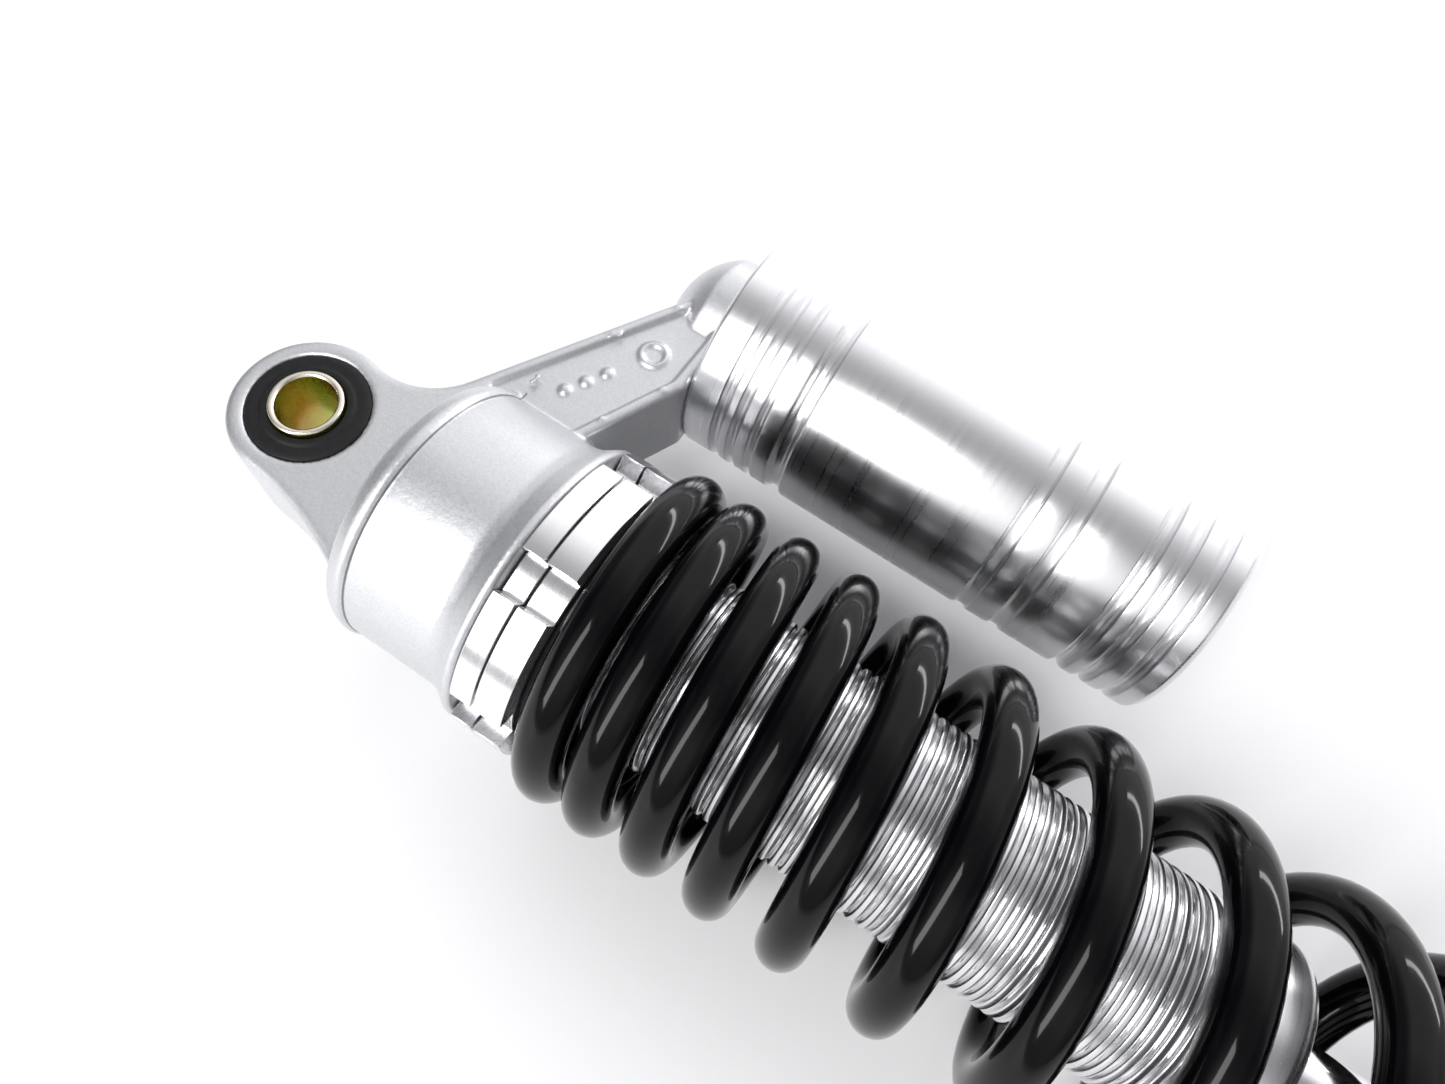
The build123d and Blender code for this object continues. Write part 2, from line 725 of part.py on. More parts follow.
floating_end = floating_piston_start + floating_piston_length
turned("floating_piston", [
    (floating_piston_start, 0),
    (floating_piston_start + 5.0, 0),
    (floating_piston_start + 5.0, 12.0),
    (floating_end, 13.0),
    (floating_end, reservoir_bore - open_gap),
    (floating_piston_start + 12.0, reservoir_bore - open_gap),
    (floating_piston_start + 12.0, reservoir_bore - 1.5),
    (floating_piston_start + 7.0, reservoir_bore - 1.5),
    (floating_piston_start + 7.0, reservoir_bore - open_gap),
    (floating_piston_start + 5.0, reservoir_bore - open_gap),
    (floating_piston_start + 5.0, reservoir_bore - 1.7),
    (floating_piston_start + 2.6, reservoir_bore - 1.7),
    (floating_piston_start + 2.6, reservoir_bore - open_gap),
    (floating_piston_start, reservoir_bore - open_gap),
], reservoir_offset)
ring("floating_band", floating_piston_start + 7.05, floating_piston_start + 11.95,
     reservoir_bore - 1.45, reservoir_bore - band_running, reservoir_offset)
o_ring("floating_o_ring", floating_piston_start + 3.8, reservoir_bore - 1.7, 1.6, reservoir_offset)

# ---------------------------------------------------------------- motion that follows the sizes
floating_ratio = (rod_radius / reservoir_bore) ** 2
print(f"floating piston moves {floating_ratio:.5f} m per m of rod, {stroke * floating_ratio:.2f} mm in full stroke")
print(f"preload travel {preload_turns * thread_pitch:.2f} mm over {preload_turns * 360:.0f} degrees")
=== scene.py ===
# %% [markdown]
# # A rear shock absorber with a side reservoir
# The imported CAD model is the fixed frame: every piece below is built around it, in metres, and all but the
# spring's two pieces ride on one of its bodies. Sizes are read from the frame's boxes wherever a piece has to meet
# a CAD part, and the numbers that remain are the piece's own: a thread's depth, an edge's rounding, a finish's
# roughness.

# %% Load the frame
import bpy, bmesh, json, math
import numpy as np
from mathutils import Matrix, Vector


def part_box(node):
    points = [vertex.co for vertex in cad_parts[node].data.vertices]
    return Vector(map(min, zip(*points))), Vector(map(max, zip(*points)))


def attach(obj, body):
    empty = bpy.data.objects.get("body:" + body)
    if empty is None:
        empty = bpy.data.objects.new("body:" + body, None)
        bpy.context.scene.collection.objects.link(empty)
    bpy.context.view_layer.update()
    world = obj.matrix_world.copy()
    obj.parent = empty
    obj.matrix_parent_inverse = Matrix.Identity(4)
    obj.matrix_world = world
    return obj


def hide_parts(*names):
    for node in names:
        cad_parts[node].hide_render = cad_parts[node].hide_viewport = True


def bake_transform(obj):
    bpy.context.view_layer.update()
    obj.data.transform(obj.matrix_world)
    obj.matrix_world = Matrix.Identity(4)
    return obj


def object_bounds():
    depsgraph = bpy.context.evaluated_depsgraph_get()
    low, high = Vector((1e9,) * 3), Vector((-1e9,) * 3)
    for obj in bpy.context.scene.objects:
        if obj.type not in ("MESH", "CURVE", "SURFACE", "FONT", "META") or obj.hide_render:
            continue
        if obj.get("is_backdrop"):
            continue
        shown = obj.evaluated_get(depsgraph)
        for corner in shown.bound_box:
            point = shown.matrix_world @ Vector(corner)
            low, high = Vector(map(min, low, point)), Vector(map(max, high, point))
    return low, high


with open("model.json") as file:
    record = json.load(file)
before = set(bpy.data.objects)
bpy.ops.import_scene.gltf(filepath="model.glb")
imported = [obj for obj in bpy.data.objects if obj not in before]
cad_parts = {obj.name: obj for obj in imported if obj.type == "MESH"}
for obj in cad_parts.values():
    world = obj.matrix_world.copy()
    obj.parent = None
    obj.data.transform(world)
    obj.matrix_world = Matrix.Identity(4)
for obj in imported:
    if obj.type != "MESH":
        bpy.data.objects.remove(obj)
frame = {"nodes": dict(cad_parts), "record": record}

MM = 0.001
TAU = 2 * math.pi
low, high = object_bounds()
record = frame["record"]
mounts = {mount["name"]: Vector(mount["pos_m"]) for mount in record["mounts"]}

# %% [markdown]
# ## Helpers
# Nearly every piece here is turned on a lathe on the real object, so one function turns a half-outline
# about an axis. A real edge is never perfectly sharp, and it is the small rounding that catches the light,
# so `soften` first replaces each corner of the outline with a short curve.

# %% Outlines and turned pieces
def soften(outline, size=0.25 * MM, steps=3):
    """Rounds the corners of a closed outline of (along, radius) points."""
    points = [Vector((a, r)) for a, r in outline]
    out = []
    for i, corner in enumerate(points):
        before, after = points[i - 1], points[(i + 1) % len(points)]
        to_before, to_after = before - corner, after - corner
        if corner.y < 1e-7 or to_before.length < 1e-7 or to_after.length < 1e-7:
            out.append(corner)
            continue
        if math.degrees(to_before.angle(-to_after)) < 20:
            out.append(corner)
            continue
        cut_a = corner + to_before.normalized() * min(size, to_before.length * 0.45)
        cut_b = corner + to_after.normalized() * min(size, to_after.length * 0.45)
        for step in range(steps + 1):
            t = step / steps
            out.append(cut_a * (1 - t) ** 2 + corner * 2 * t * (1 - t) + cut_b * t ** 2)
    return [(p.x, p.y) for p in out]


def add_mesh(name, points, faces, smooth_angle=38):
    """Makes a mesh object with outward normals, smooth where it curves and sharp at its edges."""
    mesh = bpy.data.meshes.new(name)
    mesh.from_pydata(points, [], faces)
    tidy = bmesh.new()
    tidy.from_mesh(mesh)
    bmesh.ops.recalc_face_normals(tidy, faces=tidy.faces)
    tidy.to_mesh(mesh)
    tidy.free()
    mesh.polygons.foreach_set("use_smooth", [True] * len(mesh.polygons))
    mesh.set_sharp_from_angle(angle=math.radians(smooth_angle))
    piece = bpy.data.objects.new(name, mesh)
    bpy.context.scene.collection.objects.link(piece)
    return piece


def turn(name, outline, segments=160, centre=(0, 0), axis="X", radius_at=None):
    """Turns a closed outline about X through (y, z) = centre, or about Z through (x, y) = centre.
    radius_at(along, radius, angle) may change the radius, as a thread does."""
    points, rings = [], []
    for along, radius in outline:
        count = 1 if radius < 1e-7 else segments
        rings.append([len(points) + j for j in range(count)])
        for j in range(count):
            angle = TAU * j / segments
            r = radius if radius_at is None else radius_at(along, radius, angle)
            u, v = r * math.cos(angle), r * math.sin(angle)
            if axis == "X":
                points.append((along, centre[0] + u, centre[1] + v))
            else:
                points.append((centre[0] + u, centre[1] + v, along))
    faces = []
    for i, ring in enumerate(rings):
        after = rings[(i + 1) % len(rings)]
        if len(ring) == 1 and len(after) == 1:
            continue
        for j in range(segments):
            k = (j + 1) % segments
            corners = [ring[j % len(ring)], ring[k % len(ring)], after[k % len(after)], after[j % len(after)]]
            faces.append(tuple(dict.fromkeys(corners)))
    return add_mesh(name, points, faces)


def place(piece, body, slot, material, replaces=()):
    """Hands a finished piece its body, its finish and the CAD nodes that it stands for."""
    piece.data.materials.clear()
    piece.data.materials.append(material)
    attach(piece, body)
    if replaces:
        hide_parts(*replaces)
    print(f"{piece.name}: {len(piece.data.polygons)} faces on {body}")
    return piece


def body_of_node(node):
    """The body that a CAD node rides on."""
    return next(body for body, nodes in record["behaviour"]["bodies"].items() if node in nodes)


def span(node, axis=0):
    """Lowest and highest place of a CAD node along one axis."""
    lowest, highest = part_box(node)
    return lowest[axis], highest[axis]


def middle(node, axis=0):
    """Middle of a CAD node along one axis."""
    return sum(span(node, axis)) / 2


# %% [markdown]
# ## Camera
# The view looks down on the upper half of the shock from close by, so near parts are drawn much larger
# than far ones. A wide lens close to the object gives that, and no lens moved further back does. The
# camera's three directions are given as vectors, because a roll is hard to read from angles.

# %% Camera
camera_place = Vector((0.0945, -0.0417, 0.1561))
camera_right = Vector((0.8338, 0.5455, 0.0848)).normalized()
camera_down = Vector((0.5295, -0.7467, -0.4026)).normalized()
camera_ahead = camera_right.cross(camera_down).normalized()
camera_down = camera_ahead.cross(camera_right)
camera = bpy.data.objects.new("camera", bpy.data.cameras.new("camera"))
bpy.context.scene.collection.objects.link(camera)
camera.matrix_world = Matrix((
    (camera_right.x, -camera_down.x, -camera_ahead.x, camera_place.x),
    (camera_right.y, -camera_down.y, -camera_ahead.y, camera_place.y),
    (camera_right.z, -camera_down.z, -camera_ahead.z, camera_place.z),
    (0, 0, 0, 1),
))
camera.data.lens = 24.72
camera.data.sensor_width = 36
camera.data.clip_start = 0.005
bpy.context.scene.camera = camera
print("camera looks along", [round(v, 3) for v in camera_ahead])

# %% [markdown]
# ## Floor and light
# Metal shows its surroundings more than its own colour, so the floor is plain and pale and the lights are
# soft. A tall softbox in front draws the long streaks on the black coils and the bright band on the
# rings. A long, narrow strip behind draws the thin highlight along the far side.

# %% Floor
def node_of(tree, kind, place=(0, 0), **settings):
    """Adds a shader node and sets its inputs and properties by name."""
    made = tree.nodes.new(kind)
    made.location = place
    for name, value in settings.items():
        label = name.replace("_", " ")
        if label in made.inputs:
            made.inputs[label].default_value = value
        else:
            setattr(made, name, value)
    return made


def new_material(name):
    """An empty node material with its Principled shader already joined to the output."""
    material = bpy.data.materials.new(name)
    material.use_nodes = True
    tree = material.node_tree
    tree.nodes.clear()
    output = node_of(tree, "ShaderNodeOutputMaterial", (900, 0))
    shader = node_of(tree, "ShaderNodeBsdfPrincipled", (600, 0))
    tree.links.new(shader.outputs[0], output.inputs["Surface"])
    return material, tree, shader


floor_size = 3.0
floor = add_mesh("floor", [
    (-floor_size, -floor_size, low.z), (floor_size, -floor_size, low.z),
    (floor_size, floor_size, low.z), (-floor_size, floor_size, low.z),
], [(0, 1, 2, 3)])
floor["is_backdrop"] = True
floor_paper, tree, shader = new_material("floor_paper")
shader.inputs["Base Color"].default_value = (0.97, 0.97, 0.975, 1)
shader.inputs["Roughness"].default_value = 0.6
paper = node_of(tree, "ShaderNodeTexNoise", (100, -200), Scale=900.0)
paper_bump = node_of(tree, "ShaderNodeBump", (350, -200), Strength=0.05, Distance=0.0002)
tree.links.new(paper.outputs["Fac"], paper_bump.inputs["Height"])
tree.links.new(paper_bump.outputs["Normal"], shader.inputs["Normal"])
floor.data.materials.append(floor_paper)


# %% Lights
def area_light(name, place, target, width, height, power, tint=(1, 1, 1)):
    """A soft rectangular light at one point, turned towards another."""
    data = bpy.data.lights.new(name, "AREA")
    data.shape = "RECTANGLE"
    data.size, data.size_y = width, height
    data.energy = power
    data.color = tint
    lamp = bpy.data.objects.new(name, data)
    lamp.location = place
    lamp.rotation_mode = "QUATERNION"
    lamp.rotation_quaternion = (Vector(target) - Vector(place)).to_track_quat("-Z", "Y")
    bpy.context.scene.collection.objects.link(lamp)
    return lamp


subject = Vector((0.09, 0.01, 0.0))
area_light("key_softbox", (-0.10, -0.46, 0.42), subject, 0.18, 0.70, 3.4)
area_light("back_strip", (0.30, 0.70, 0.30), subject, 0.9, 0.06, 2.6)
print("floor at", round(low.z / MM, 1), "mm")

# %% [markdown]
# The shock is mostly cylinders that lie along one axis, so what they mirror depends on one angle: the
# direction round that axis. The surroundings are therefore one colour ramp over that angle. The side
# behind the reservoir is a bright wall, the ceiling is dim, and the near side is a soft panel that fades
# towards the horizon. The room's two ends are darker. The camera itself sees an even pale backdrop.

# %% Surroundings
world = bpy.data.worlds.new("studio")
bpy.context.scene.world = world
world.use_nodes = True
sky = world.node_tree
sky.nodes.clear()
direction = node_of(sky, "ShaderNodeTexCoord", (-1000, 0))
split_up = node_of(sky, "ShaderNodeSeparateXYZ", (-800, 0))
round_axis = node_of(sky, "ShaderNodeMath", (-600, 0), operation="ARCTAN2")
to_share = node_of(sky, "ShaderNodeMapRange", (-400, 0))
walls = node_of(sky, "ShaderNodeValToRGB", (-200, 0))
# Angle above the horizon behind the reservoir, in degrees, and how bright the room is there
room = [(-180, 0.40), (-150, 0.45), (-90, 0.70), (-40, 0.95), (0, 1.25), (62, 1.25), (74, 0.85), (84, 0.50),
        (96, 0.36), (108, 0.34), (118, 0.45), (128, 0.72), (140, 0.95), (152, 0.85), (164, 0.60), (180, 0.40)]
stops = walls.color_ramp.elements
for number, (degrees, value) in enumerate(room):
    place_on_ramp = (degrees + 180) / 360
    stop = stops[number] if number < 2 else stops.new(place_on_ramp)
    if number < 2:
        stop.position = place_on_ramp
    stop.color = (value, value, value * 1.02, 1)
for name, value in (("From Min", -math.pi), ("From Max", math.pi)):
    to_share.inputs[name].default_value = value
seen = node_of(sky, "ShaderNodeLightPath", (-200, 300))
# The room's two ends are darker, and only a sharp slope along the shock mirrors them: the wall of a
# groove, the flank of a thread, the rounding of an edge
ends_of_room = []
for number, (start, end, dark) in enumerate(((-0.55, -0.85, 0.22), (0.50, 0.85, 0.50))):
    fade = node_of(sky, "ShaderNodeMapRange", (-400, -250 - 250 * number))
    fade.interpolation_type = "SMOOTHSTEP"
    for name, value in (("From Min", start), ("From Max", end), ("To Min", 1.0), ("To Max", dark)):
        fade.inputs[name].default_value = value
    sky.links.new(split_up.outputs["X"], fade.inputs["Value"])
    ends_of_room.append(fade)
dimming = node_of(sky, "ShaderNodeMath", (-150, -300), operation="MULTIPLY")
lit_room = node_of(sky, "ShaderNodeBackground", (50, 0))
for number, fade in enumerate(ends_of_room):
    sky.links.new(fade.outputs["Result"], dimming.inputs[number])
sky.links.new(dimming.outputs[0], lit_room.inputs["Strength"])
pale_room = node_of(sky, "ShaderNodeBackground", (50, 150), Color=(0.98, 0.98, 0.985, 1))
either = node_of(sky, "ShaderNodeMixShader", (300, 0))
sky_out = node_of(sky, "ShaderNodeOutputWorld", (500, 0))
sky.links.new(direction.outputs["Generated"], split_up.inputs[0])
sky.links.new(split_up.outputs["Z"], round_axis.inputs[0])
sky.links.new(split_up.outputs["Y"], round_axis.inputs[1])
sky.links.new(round_axis.outputs[0], to_share.inputs["Value"])
sky.links.new(to_share.outputs["Result"], walls.inputs["Fac"])
sky.links.new(walls.outputs["Color"], lit_room.inputs["Color"])
sky.links.new(seen.outputs["Is Camera Ray"], either.inputs[0])
sky.links.new(lit_room.outputs[0], either.inputs[1])
sky.links.new(pale_room.outputs[0], either.inputs[2])
sky.links.new(either.outputs[0], sky_out.inputs["Surface"])
bpy.context.scene.view_settings.view_transform = "Standard"
bpy.context.scene.view_settings.look = "None"
print("room:", len(room), "steps of brightness")

# %% [markdown]
# ## Effects that several finishes share
# Each effect is a node group with named inputs and outputs, built once. It only puts out masks and
# heights. The material that uses it decides what they do, with its own values.

# %% Group helper
def new_group(name, inputs, outputs):
    """A shader node group with float inputs {name: default} and the named float outputs."""
    group = bpy.data.node_groups.new(name, "ShaderNodeTree")
    for label, value in inputs.items():
        socket = group.interface.new_socket(label, in_out="INPUT", socket_type="NodeSocketFloat")
        socket.default_value = value
    for label in outputs:
        group.interface.new_socket(label, in_out="OUTPUT", socket_type="NodeSocketFloat")
    entry = node_of(group, "NodeGroupInput", (-900, 0))
    leave = node_of(group, "NodeGroupOutput", (900, 0))
    return group, entry, leave


def calc(tree, operation, a, b=None, c=None, clamp=False):
    """A Math node. Each operand is a number or an output socket."""
    made = node_of(tree, "ShaderNodeMath", (0, 0))
    made.operation = operation
    made.use_clamp = clamp
    for i, value in enumerate((a, b, c)):
        if value is None:
            continue
        if isinstance(value, (int, float)):
            made.inputs[i].default_value = value
        else:
            tree.links.new(value, made.inputs[i])
    return made.outputs[0]


def noise(tree, coordinates, scale, detail=3.0, roughness=0.5, stretch=None, turn_by=(0, 0, 0)):
    """Noise over the object's own coordinates, in features per metre, optionally stretched and turned."""
    made = node_of(tree, "ShaderNodeTexNoise", (0, 0), Detail=detail, Roughness=roughness)
    if isinstance(scale, (int, float)):
        made.inputs["Scale"].default_value = scale
    else:
        tree.links.new(scale, made.inputs["Scale"])
    source = coordinates
    if stretch:
        mapping = node_of(tree, "ShaderNodeMapping", (-200, 0))
        mapping.inputs["Scale"].default_value = stretch
        mapping.inputs["Rotation"].default_value = turn_by
        tree.links.new(coordinates, mapping.inputs["Vector"])
        source = mapping.outputs[0]
    tree.links.new(source, made.inputs["Vector"])
    return made.outputs["Fac"]


def band(tree, value, start, end, low_value=0.0, high_value=1.0):
    """Maps a value from start..end to low..high, smoothly and clamped."""
    made = node_of(tree, "ShaderNodeMapRange", (0, 0))
    made.interpolation_type = "SMOOTHSTEP"
    for i, part in enumerate((value, start, end, low_value, high_value)):
        if isinstance(part, (int, float)):
            made.inputs[i].default_value = part
        else:
            tree.links.new(part, made.inputs[i])
    return made.outputs[0]


# %% [markdown]
# ### Edge wear
# Handling rubs a finish away first where the surface turns sharply. The Bevel node gives the normal that a
# rounded edge would have. Where it differs from the real normal there is an edge, and noise breaks the
# mask up, because wear is never even.

# %% Edge wear group
edge_wear, entry, leave = new_group("edge_wear", {"Radius": 0.0006, "Amount": 0.5, "Patch Scale": 900.0}, ["Mask"])
rounded = node_of(edge_wear, "ShaderNodeBevel", (-600, 200))
rounded.samples = 6
edge_wear.links.new(entry.outputs["Radius"], rounded.inputs["Radius"])
surface = node_of(edge_wear, "ShaderNodeNewGeometry", (-600, 0))
agreement = node_of(edge_wear, "ShaderNodeVectorMath", (-400, 100))
agreement.operation = "DOT_PRODUCT"
edge_wear.links.new(rounded.outputs[0], agreement.inputs[0])
edge_wear.links.new(surface.outputs["Normal"], agreement.inputs[1])
edge = band(edge_wear, agreement.outputs["Value"], 0.995, 0.90)
spots = node_of(edge_wear, "ShaderNodeTexCoord", (-800, -200)).outputs["Object"]
patch = noise(edge_wear, spots, entry.outputs["Patch Scale"], 4.0, 0.65)
patchy = band(edge_wear, patch, 0.42, 0.62)
amount = calc(edge_wear, "MULTIPLY", patchy, entry.outputs["Amount"])
edge_wear.links.new(calc(edge_wear, "MULTIPLY", edge, amount), leave.inputs["Mask"])

# %% [markdown]
# ### Turning marks
# A lathe tool leaves fine rings about the part's axis. On the outside they are lines at one place along
# the axis, on an end face circles of one radius. The sum of place and radius gives both, so one strip of
# one-dimensional noise serves every surface of the part.

# %% Turning marks group
turned_marks, entry, leave = new_group(
    "turned_marks", {"Axis Y": 0.0, "Fine Scale": 9000.0, "Coarse Scale": 900.0}, ["Height", "Tone"])
where = node_of(turned_marks, "ShaderNodeTexCoord", (-900, 200)).outputs["Object"]
parts = node_of(turned_marks, "ShaderNodeSeparateXYZ", (-700, 200))
turned_marks.links.new(where, parts.inputs[0])
across = calc(turned_marks, "SUBTRACT", parts.outputs["Y"], entry.outputs["Axis Y"])
radius = calc(turned_marks, "SQRT", calc(
    turned_marks, "ADD", calc(turned_marks, "MULTIPLY", across, across),
    calc(turned_marks, "MULTIPLY", parts.outputs["Z"], parts.outputs["Z"])))
along = calc(turned_marks, "ADD", parts.outputs["X"], radius)
for label, scale_name, detail in (("Height", "Fine Scale", 2.0), ("Tone", "Coarse Scale", 4.0)):
    lines = node_of(turned_marks, "ShaderNodeTexNoise", (0, 0), Detail=detail, Roughness=0.6)
    lines.noise_dimensions = "1D"
    turned_marks.links.new(along, lines.inputs["W"])
    turned_marks.links.new(entry.outputs[scale_name], lines.inputs["Scale"])
    turned_marks.links.new(lines.outputs["Fac"], leave.inputs[label])

# %% [markdown]
# ### Hairline scratches
# Wiping and packing leave fine scratches that run in a few directions. Strongly stretched noise, cut off
# near its top, gives thin broken lines. Two layers turned different ways keep them from looking combed.

# %% Hairline group
hairlines, entry, leave = new_group("hairlines", {"Density": 0.5}, ["Mask"])
where = node_of(hairlines, "ShaderNodeTexCoord", (-900, 0)).outputs["Object"]
layers = []
for turn_by in ((0.3, 0.2, 0.9), (0.9, -0.4, -0.5), (-0.5, 0.8, 0.1)):
    streak = noise(hairlines, where, 260.0, 2.0, 0.5, stretch=(14.0, 0.5, 14.0), turn_by=turn_by)
    layers.append(band(hairlines, streak, 0.66, 0.72))
together = calc(hairlines, "MAXIMUM", calc(hairlines, "MAXIMUM", layers[0], layers[1]), layers[2])
hairlines.links.new(calc(hairlines, "MULTIPLY", together, entry.outputs["Density"]), leave.inputs["Mask"])

# %% [markdown]
# ### Handling haze
# Fingers and oil leave broad, soft patches that are slightly duller or shinier than the rest.

# %% Haze group
haze, entry, leave = new_group("haze", {"Scale": 60.0, "Spread": 0.06}, ["Offset", "Dust"])
where = node_of(haze, "ShaderNodeTexCoord", (-900, 0)).outputs["Object"]
cloud = noise(haze, where, entry.outputs["Scale"], 5.0, 0.6)
centred = calc(haze, "SUBTRACT", cloud, 0.5)
haze.links.new(calc(haze, "MULTIPLY", centred, entry.outputs["Spread"]), leave.inputs["Offset"])
speck_noise = noise(haze, where, 5200.0, 2.0, 0.6)
dust_field = calc(haze, "MULTIPLY", band(haze, speck_noise, 0.68, 0.76), band(haze, cloud, 0.4, 0.6))
haze.links.new(dust_field, leave.inputs["Dust"])


# %% Group placing
def use(tree, group, **values):
    """Places a node group in a material with its own values and returns the node."""
    made = node_of(tree, "ShaderNodeGroup", (-200, 0))
    made.node_tree = group
    for name, value in values.items():
        made.inputs[name.replace("_", " ")].default_value = value
    return made


def tint(tree, mask, colour_a, colour_b):
    """Mixes two colours by a mask. A colour is a tuple or an output socket."""
    made = node_of(tree, "ShaderNodeMix", (200, 200))
    made.data_type = "RGBA"
    tree.links.new(mask, made.inputs["Factor"])
    for socket, colour in ((made.inputs[6], colour_a), (made.inputs[7], colour_b)):
        if isinstance(colour, tuple):
            socket.default_value = (*colour, 1)
        else:
            tree.links.new(colour, socket)
    return made.outputs[2]


def bump(tree, height, depth, strength=1.0, under=None):
    """A Bump node for a height of 0..1 that stands depth metres, optionally on top of another."""
    made = node_of(tree, "ShaderNodeBump", (400, -300), Strength=strength, Distance=depth)
    tree.links.new(height, made.inputs["Height"])
    if under:
        tree.links.new(under, made.inputs["Normal"])
    return made.outputs[0]


def own_place(tree):
    """The point on the object, in the frame's metres."""
    return node_of(tree, "ShaderNodeTexCoord", (-900, 0)).outputs["Object"]


# %% [markdown]
# ## Finishes
# ### Cast head and lower mount
# The castings are aluminium with a thin coat of silver paint. Under the paint the sand or die skin still
# shows as a faint orange peel, fine metal flakes in the paint glint, and sharp edges are rubbed brighter.
# The flakes are metal, so the paint mirrors light almost as bare aluminium does, only more softly.

# %% Cast paint
# Place along X of the line between flange and barrel, and the radii between which the skin is the barrel's
groove_x = 26.6 * MM
barrel_skin = (22.5 * MM, 25.5 * MM)


def cast_paint():
    material, tree, shader = new_material("cast_paint")
    where = own_place(tree)
    flakes = node_of(tree, "ShaderNodeTexVoronoi", (-500, 300), Scale=5200.0)
    tree.links.new(where, flakes.inputs["Vector"])
    flake_tone = node_of(tree, "ShaderNodeSeparateColor", (-300, 300))
    tree.links.new(flakes.outputs["Color"], flake_tone.inputs[0])
    peel = noise(tree, where, 1500.0, 3.0, 0.55)
    skin = noise(tree, where, 380.0, 2.0, 0.5)
    cloud = use(tree, haze, Scale=45.0, Spread=0.10)
    wear = use(tree, edge_wear, Radius=0.0007, Amount=0.55, Patch_Scale=700.0)
    base = tint(tree, flake_tone.outputs[0], (0.60, 0.605, 0.625), (0.69, 0.695, 0.715))
    dusty = tint(tree, cloud.outputs["Dust"], base, (0.55, 0.55, 0.56))
    worn = tint(tree, wear.outputs["Mask"], dusty, (0.90, 0.90, 0.91))
    # A fine turned line parts the flange from the barrel. Its darkness is painted shade: a dark line in the base
    # colour at one place along X, on the barrel only, standing in for the shade in the groove
    parts = node_of(tree, "ShaderNodeSeparateXYZ", (-700, -300))
    tree.links.new(where, parts.inputs[0])
    off_line = calc(tree, "ABSOLUTE", calc(tree, "SUBTRACT", parts.outputs["X"], groove_x))
    reach = calc(tree, "SQRT", calc(tree, "ADD", calc(tree, "MULTIPLY", parts.outputs["Y"], parts.outputs["Y"]),
                                    calc(tree, "MULTIPLY", parts.outputs["Z"], parts.outputs["Z"])))
    on_barrel = calc(tree, "MULTIPLY", band(tree, reach, barrel_skin[0], barrel_skin[0] + 0.5 * MM),
                     band(tree, reach, barrel_skin[1], barrel_skin[1] - 0.5 * MM))
    painted_groove_shade = calc(tree, "MULTIPLY", band(tree, off_line, 0.22 * MM, 0.08 * MM), on_barrel)
    with_groove_shade = tint(tree, painted_groove_shade, worn, (0.22, 0.22, 0.23))
    tree.links.new(with_groove_shade, shader.inputs["Base Color"])
    rough = calc(tree, "ADD", band(tree, flake_tone.outputs[1], 0.0, 1.0, 0.38, 0.48), cloud.outputs["Offset"])
    tree.links.new(calc(tree, "SUBTRACT", rough, calc(tree, "MULTIPLY", wear.outputs["Mask"], 0.12)),
                   shader.inputs["Roughness"])
    shader.inputs["Metallic"].default_value = 0.88
    shader.inputs["Coat Weight"].default_value = 0.15
    shader.inputs["Coat Roughness"].default_value = 0.25
    broad = bump(tree, skin, 0.00006, 0.6)
    tree.links.new(bump(tree, peel, 0.00003, 0.7, broad), shader.inputs["Normal"])
    return material


# %% [markdown]
# ### Turned aluminium
# The spanner rings are turned and left satin, the reservoir is turned finer and then polished. Both use
# the same effects, so one function makes both, with its own roughness and depth of the tool marks.

# %% Turned metal
def turned_metal(name, colour, shade, roughness, mark_depth, axis_y=0.0, scratches=0.5, fine=9000.0, blur=0.75,
                 patches=0.10):
    material, tree, shader = new_material(name)
    shader.inputs["Anisotropic"].default_value = blur
    shader.inputs["Anisotropic Rotation"].default_value = 0.25
    round_about = node_of(tree, "ShaderNodeTangent", (300, -500), direction_type="RADIAL", axis="X")
    tree.links.new(round_about.outputs[0], shader.inputs["Tangent"])
    marks = use(tree, turned_marks, Axis_Y=axis_y, Fine_Scale=fine, Coarse_Scale=700.0)
    lines = use(tree, hairlines, Density=scratches)
    cloud = use(tree, haze, Scale=70.0, Spread=patches)
    wear = use(tree, edge_wear, Radius=0.0003, Amount=0.2, Patch_Scale=3000.0)
    ringed = tint(tree, marks.outputs["Tone"], shade, colour)
    dusty = tint(tree, cloud.outputs["Dust"], ringed, (0.45, 0.45, 0.46))
    tree.links.new(tint(tree, wear.outputs["Mask"], dusty, (0.95, 0.95, 0.95)), shader.inputs["Base Color"])
    shader.inputs["Metallic"].default_value = 1.0
    rough = calc(tree, "ADD", band(tree, marks.outputs["Tone"], 0.3, 0.7, roughness * 1.1, roughness * 0.93),
                 cloud.outputs["Offset"])
    rough = calc(tree, "ADD", rough, calc(tree, "MULTIPLY", lines.outputs["Mask"], 0.10), clamp=True)
    tree.links.new(rough, shader.inputs["Roughness"])
    rings = bump(tree, marks.outputs["Height"], mark_depth, 0.8)
    tree.links.new(bump(tree, lines.outputs["Mask"], 0.000001, 0.3, rings), shader.inputs["Normal"])
    return material


# %% [markdown]
# ### Black powder coat
# The spring is dipped and baked. The coat is glossy but not a mirror: it flows into a soft orange peel,
# holds a little dust, and carries fine wipe marks.

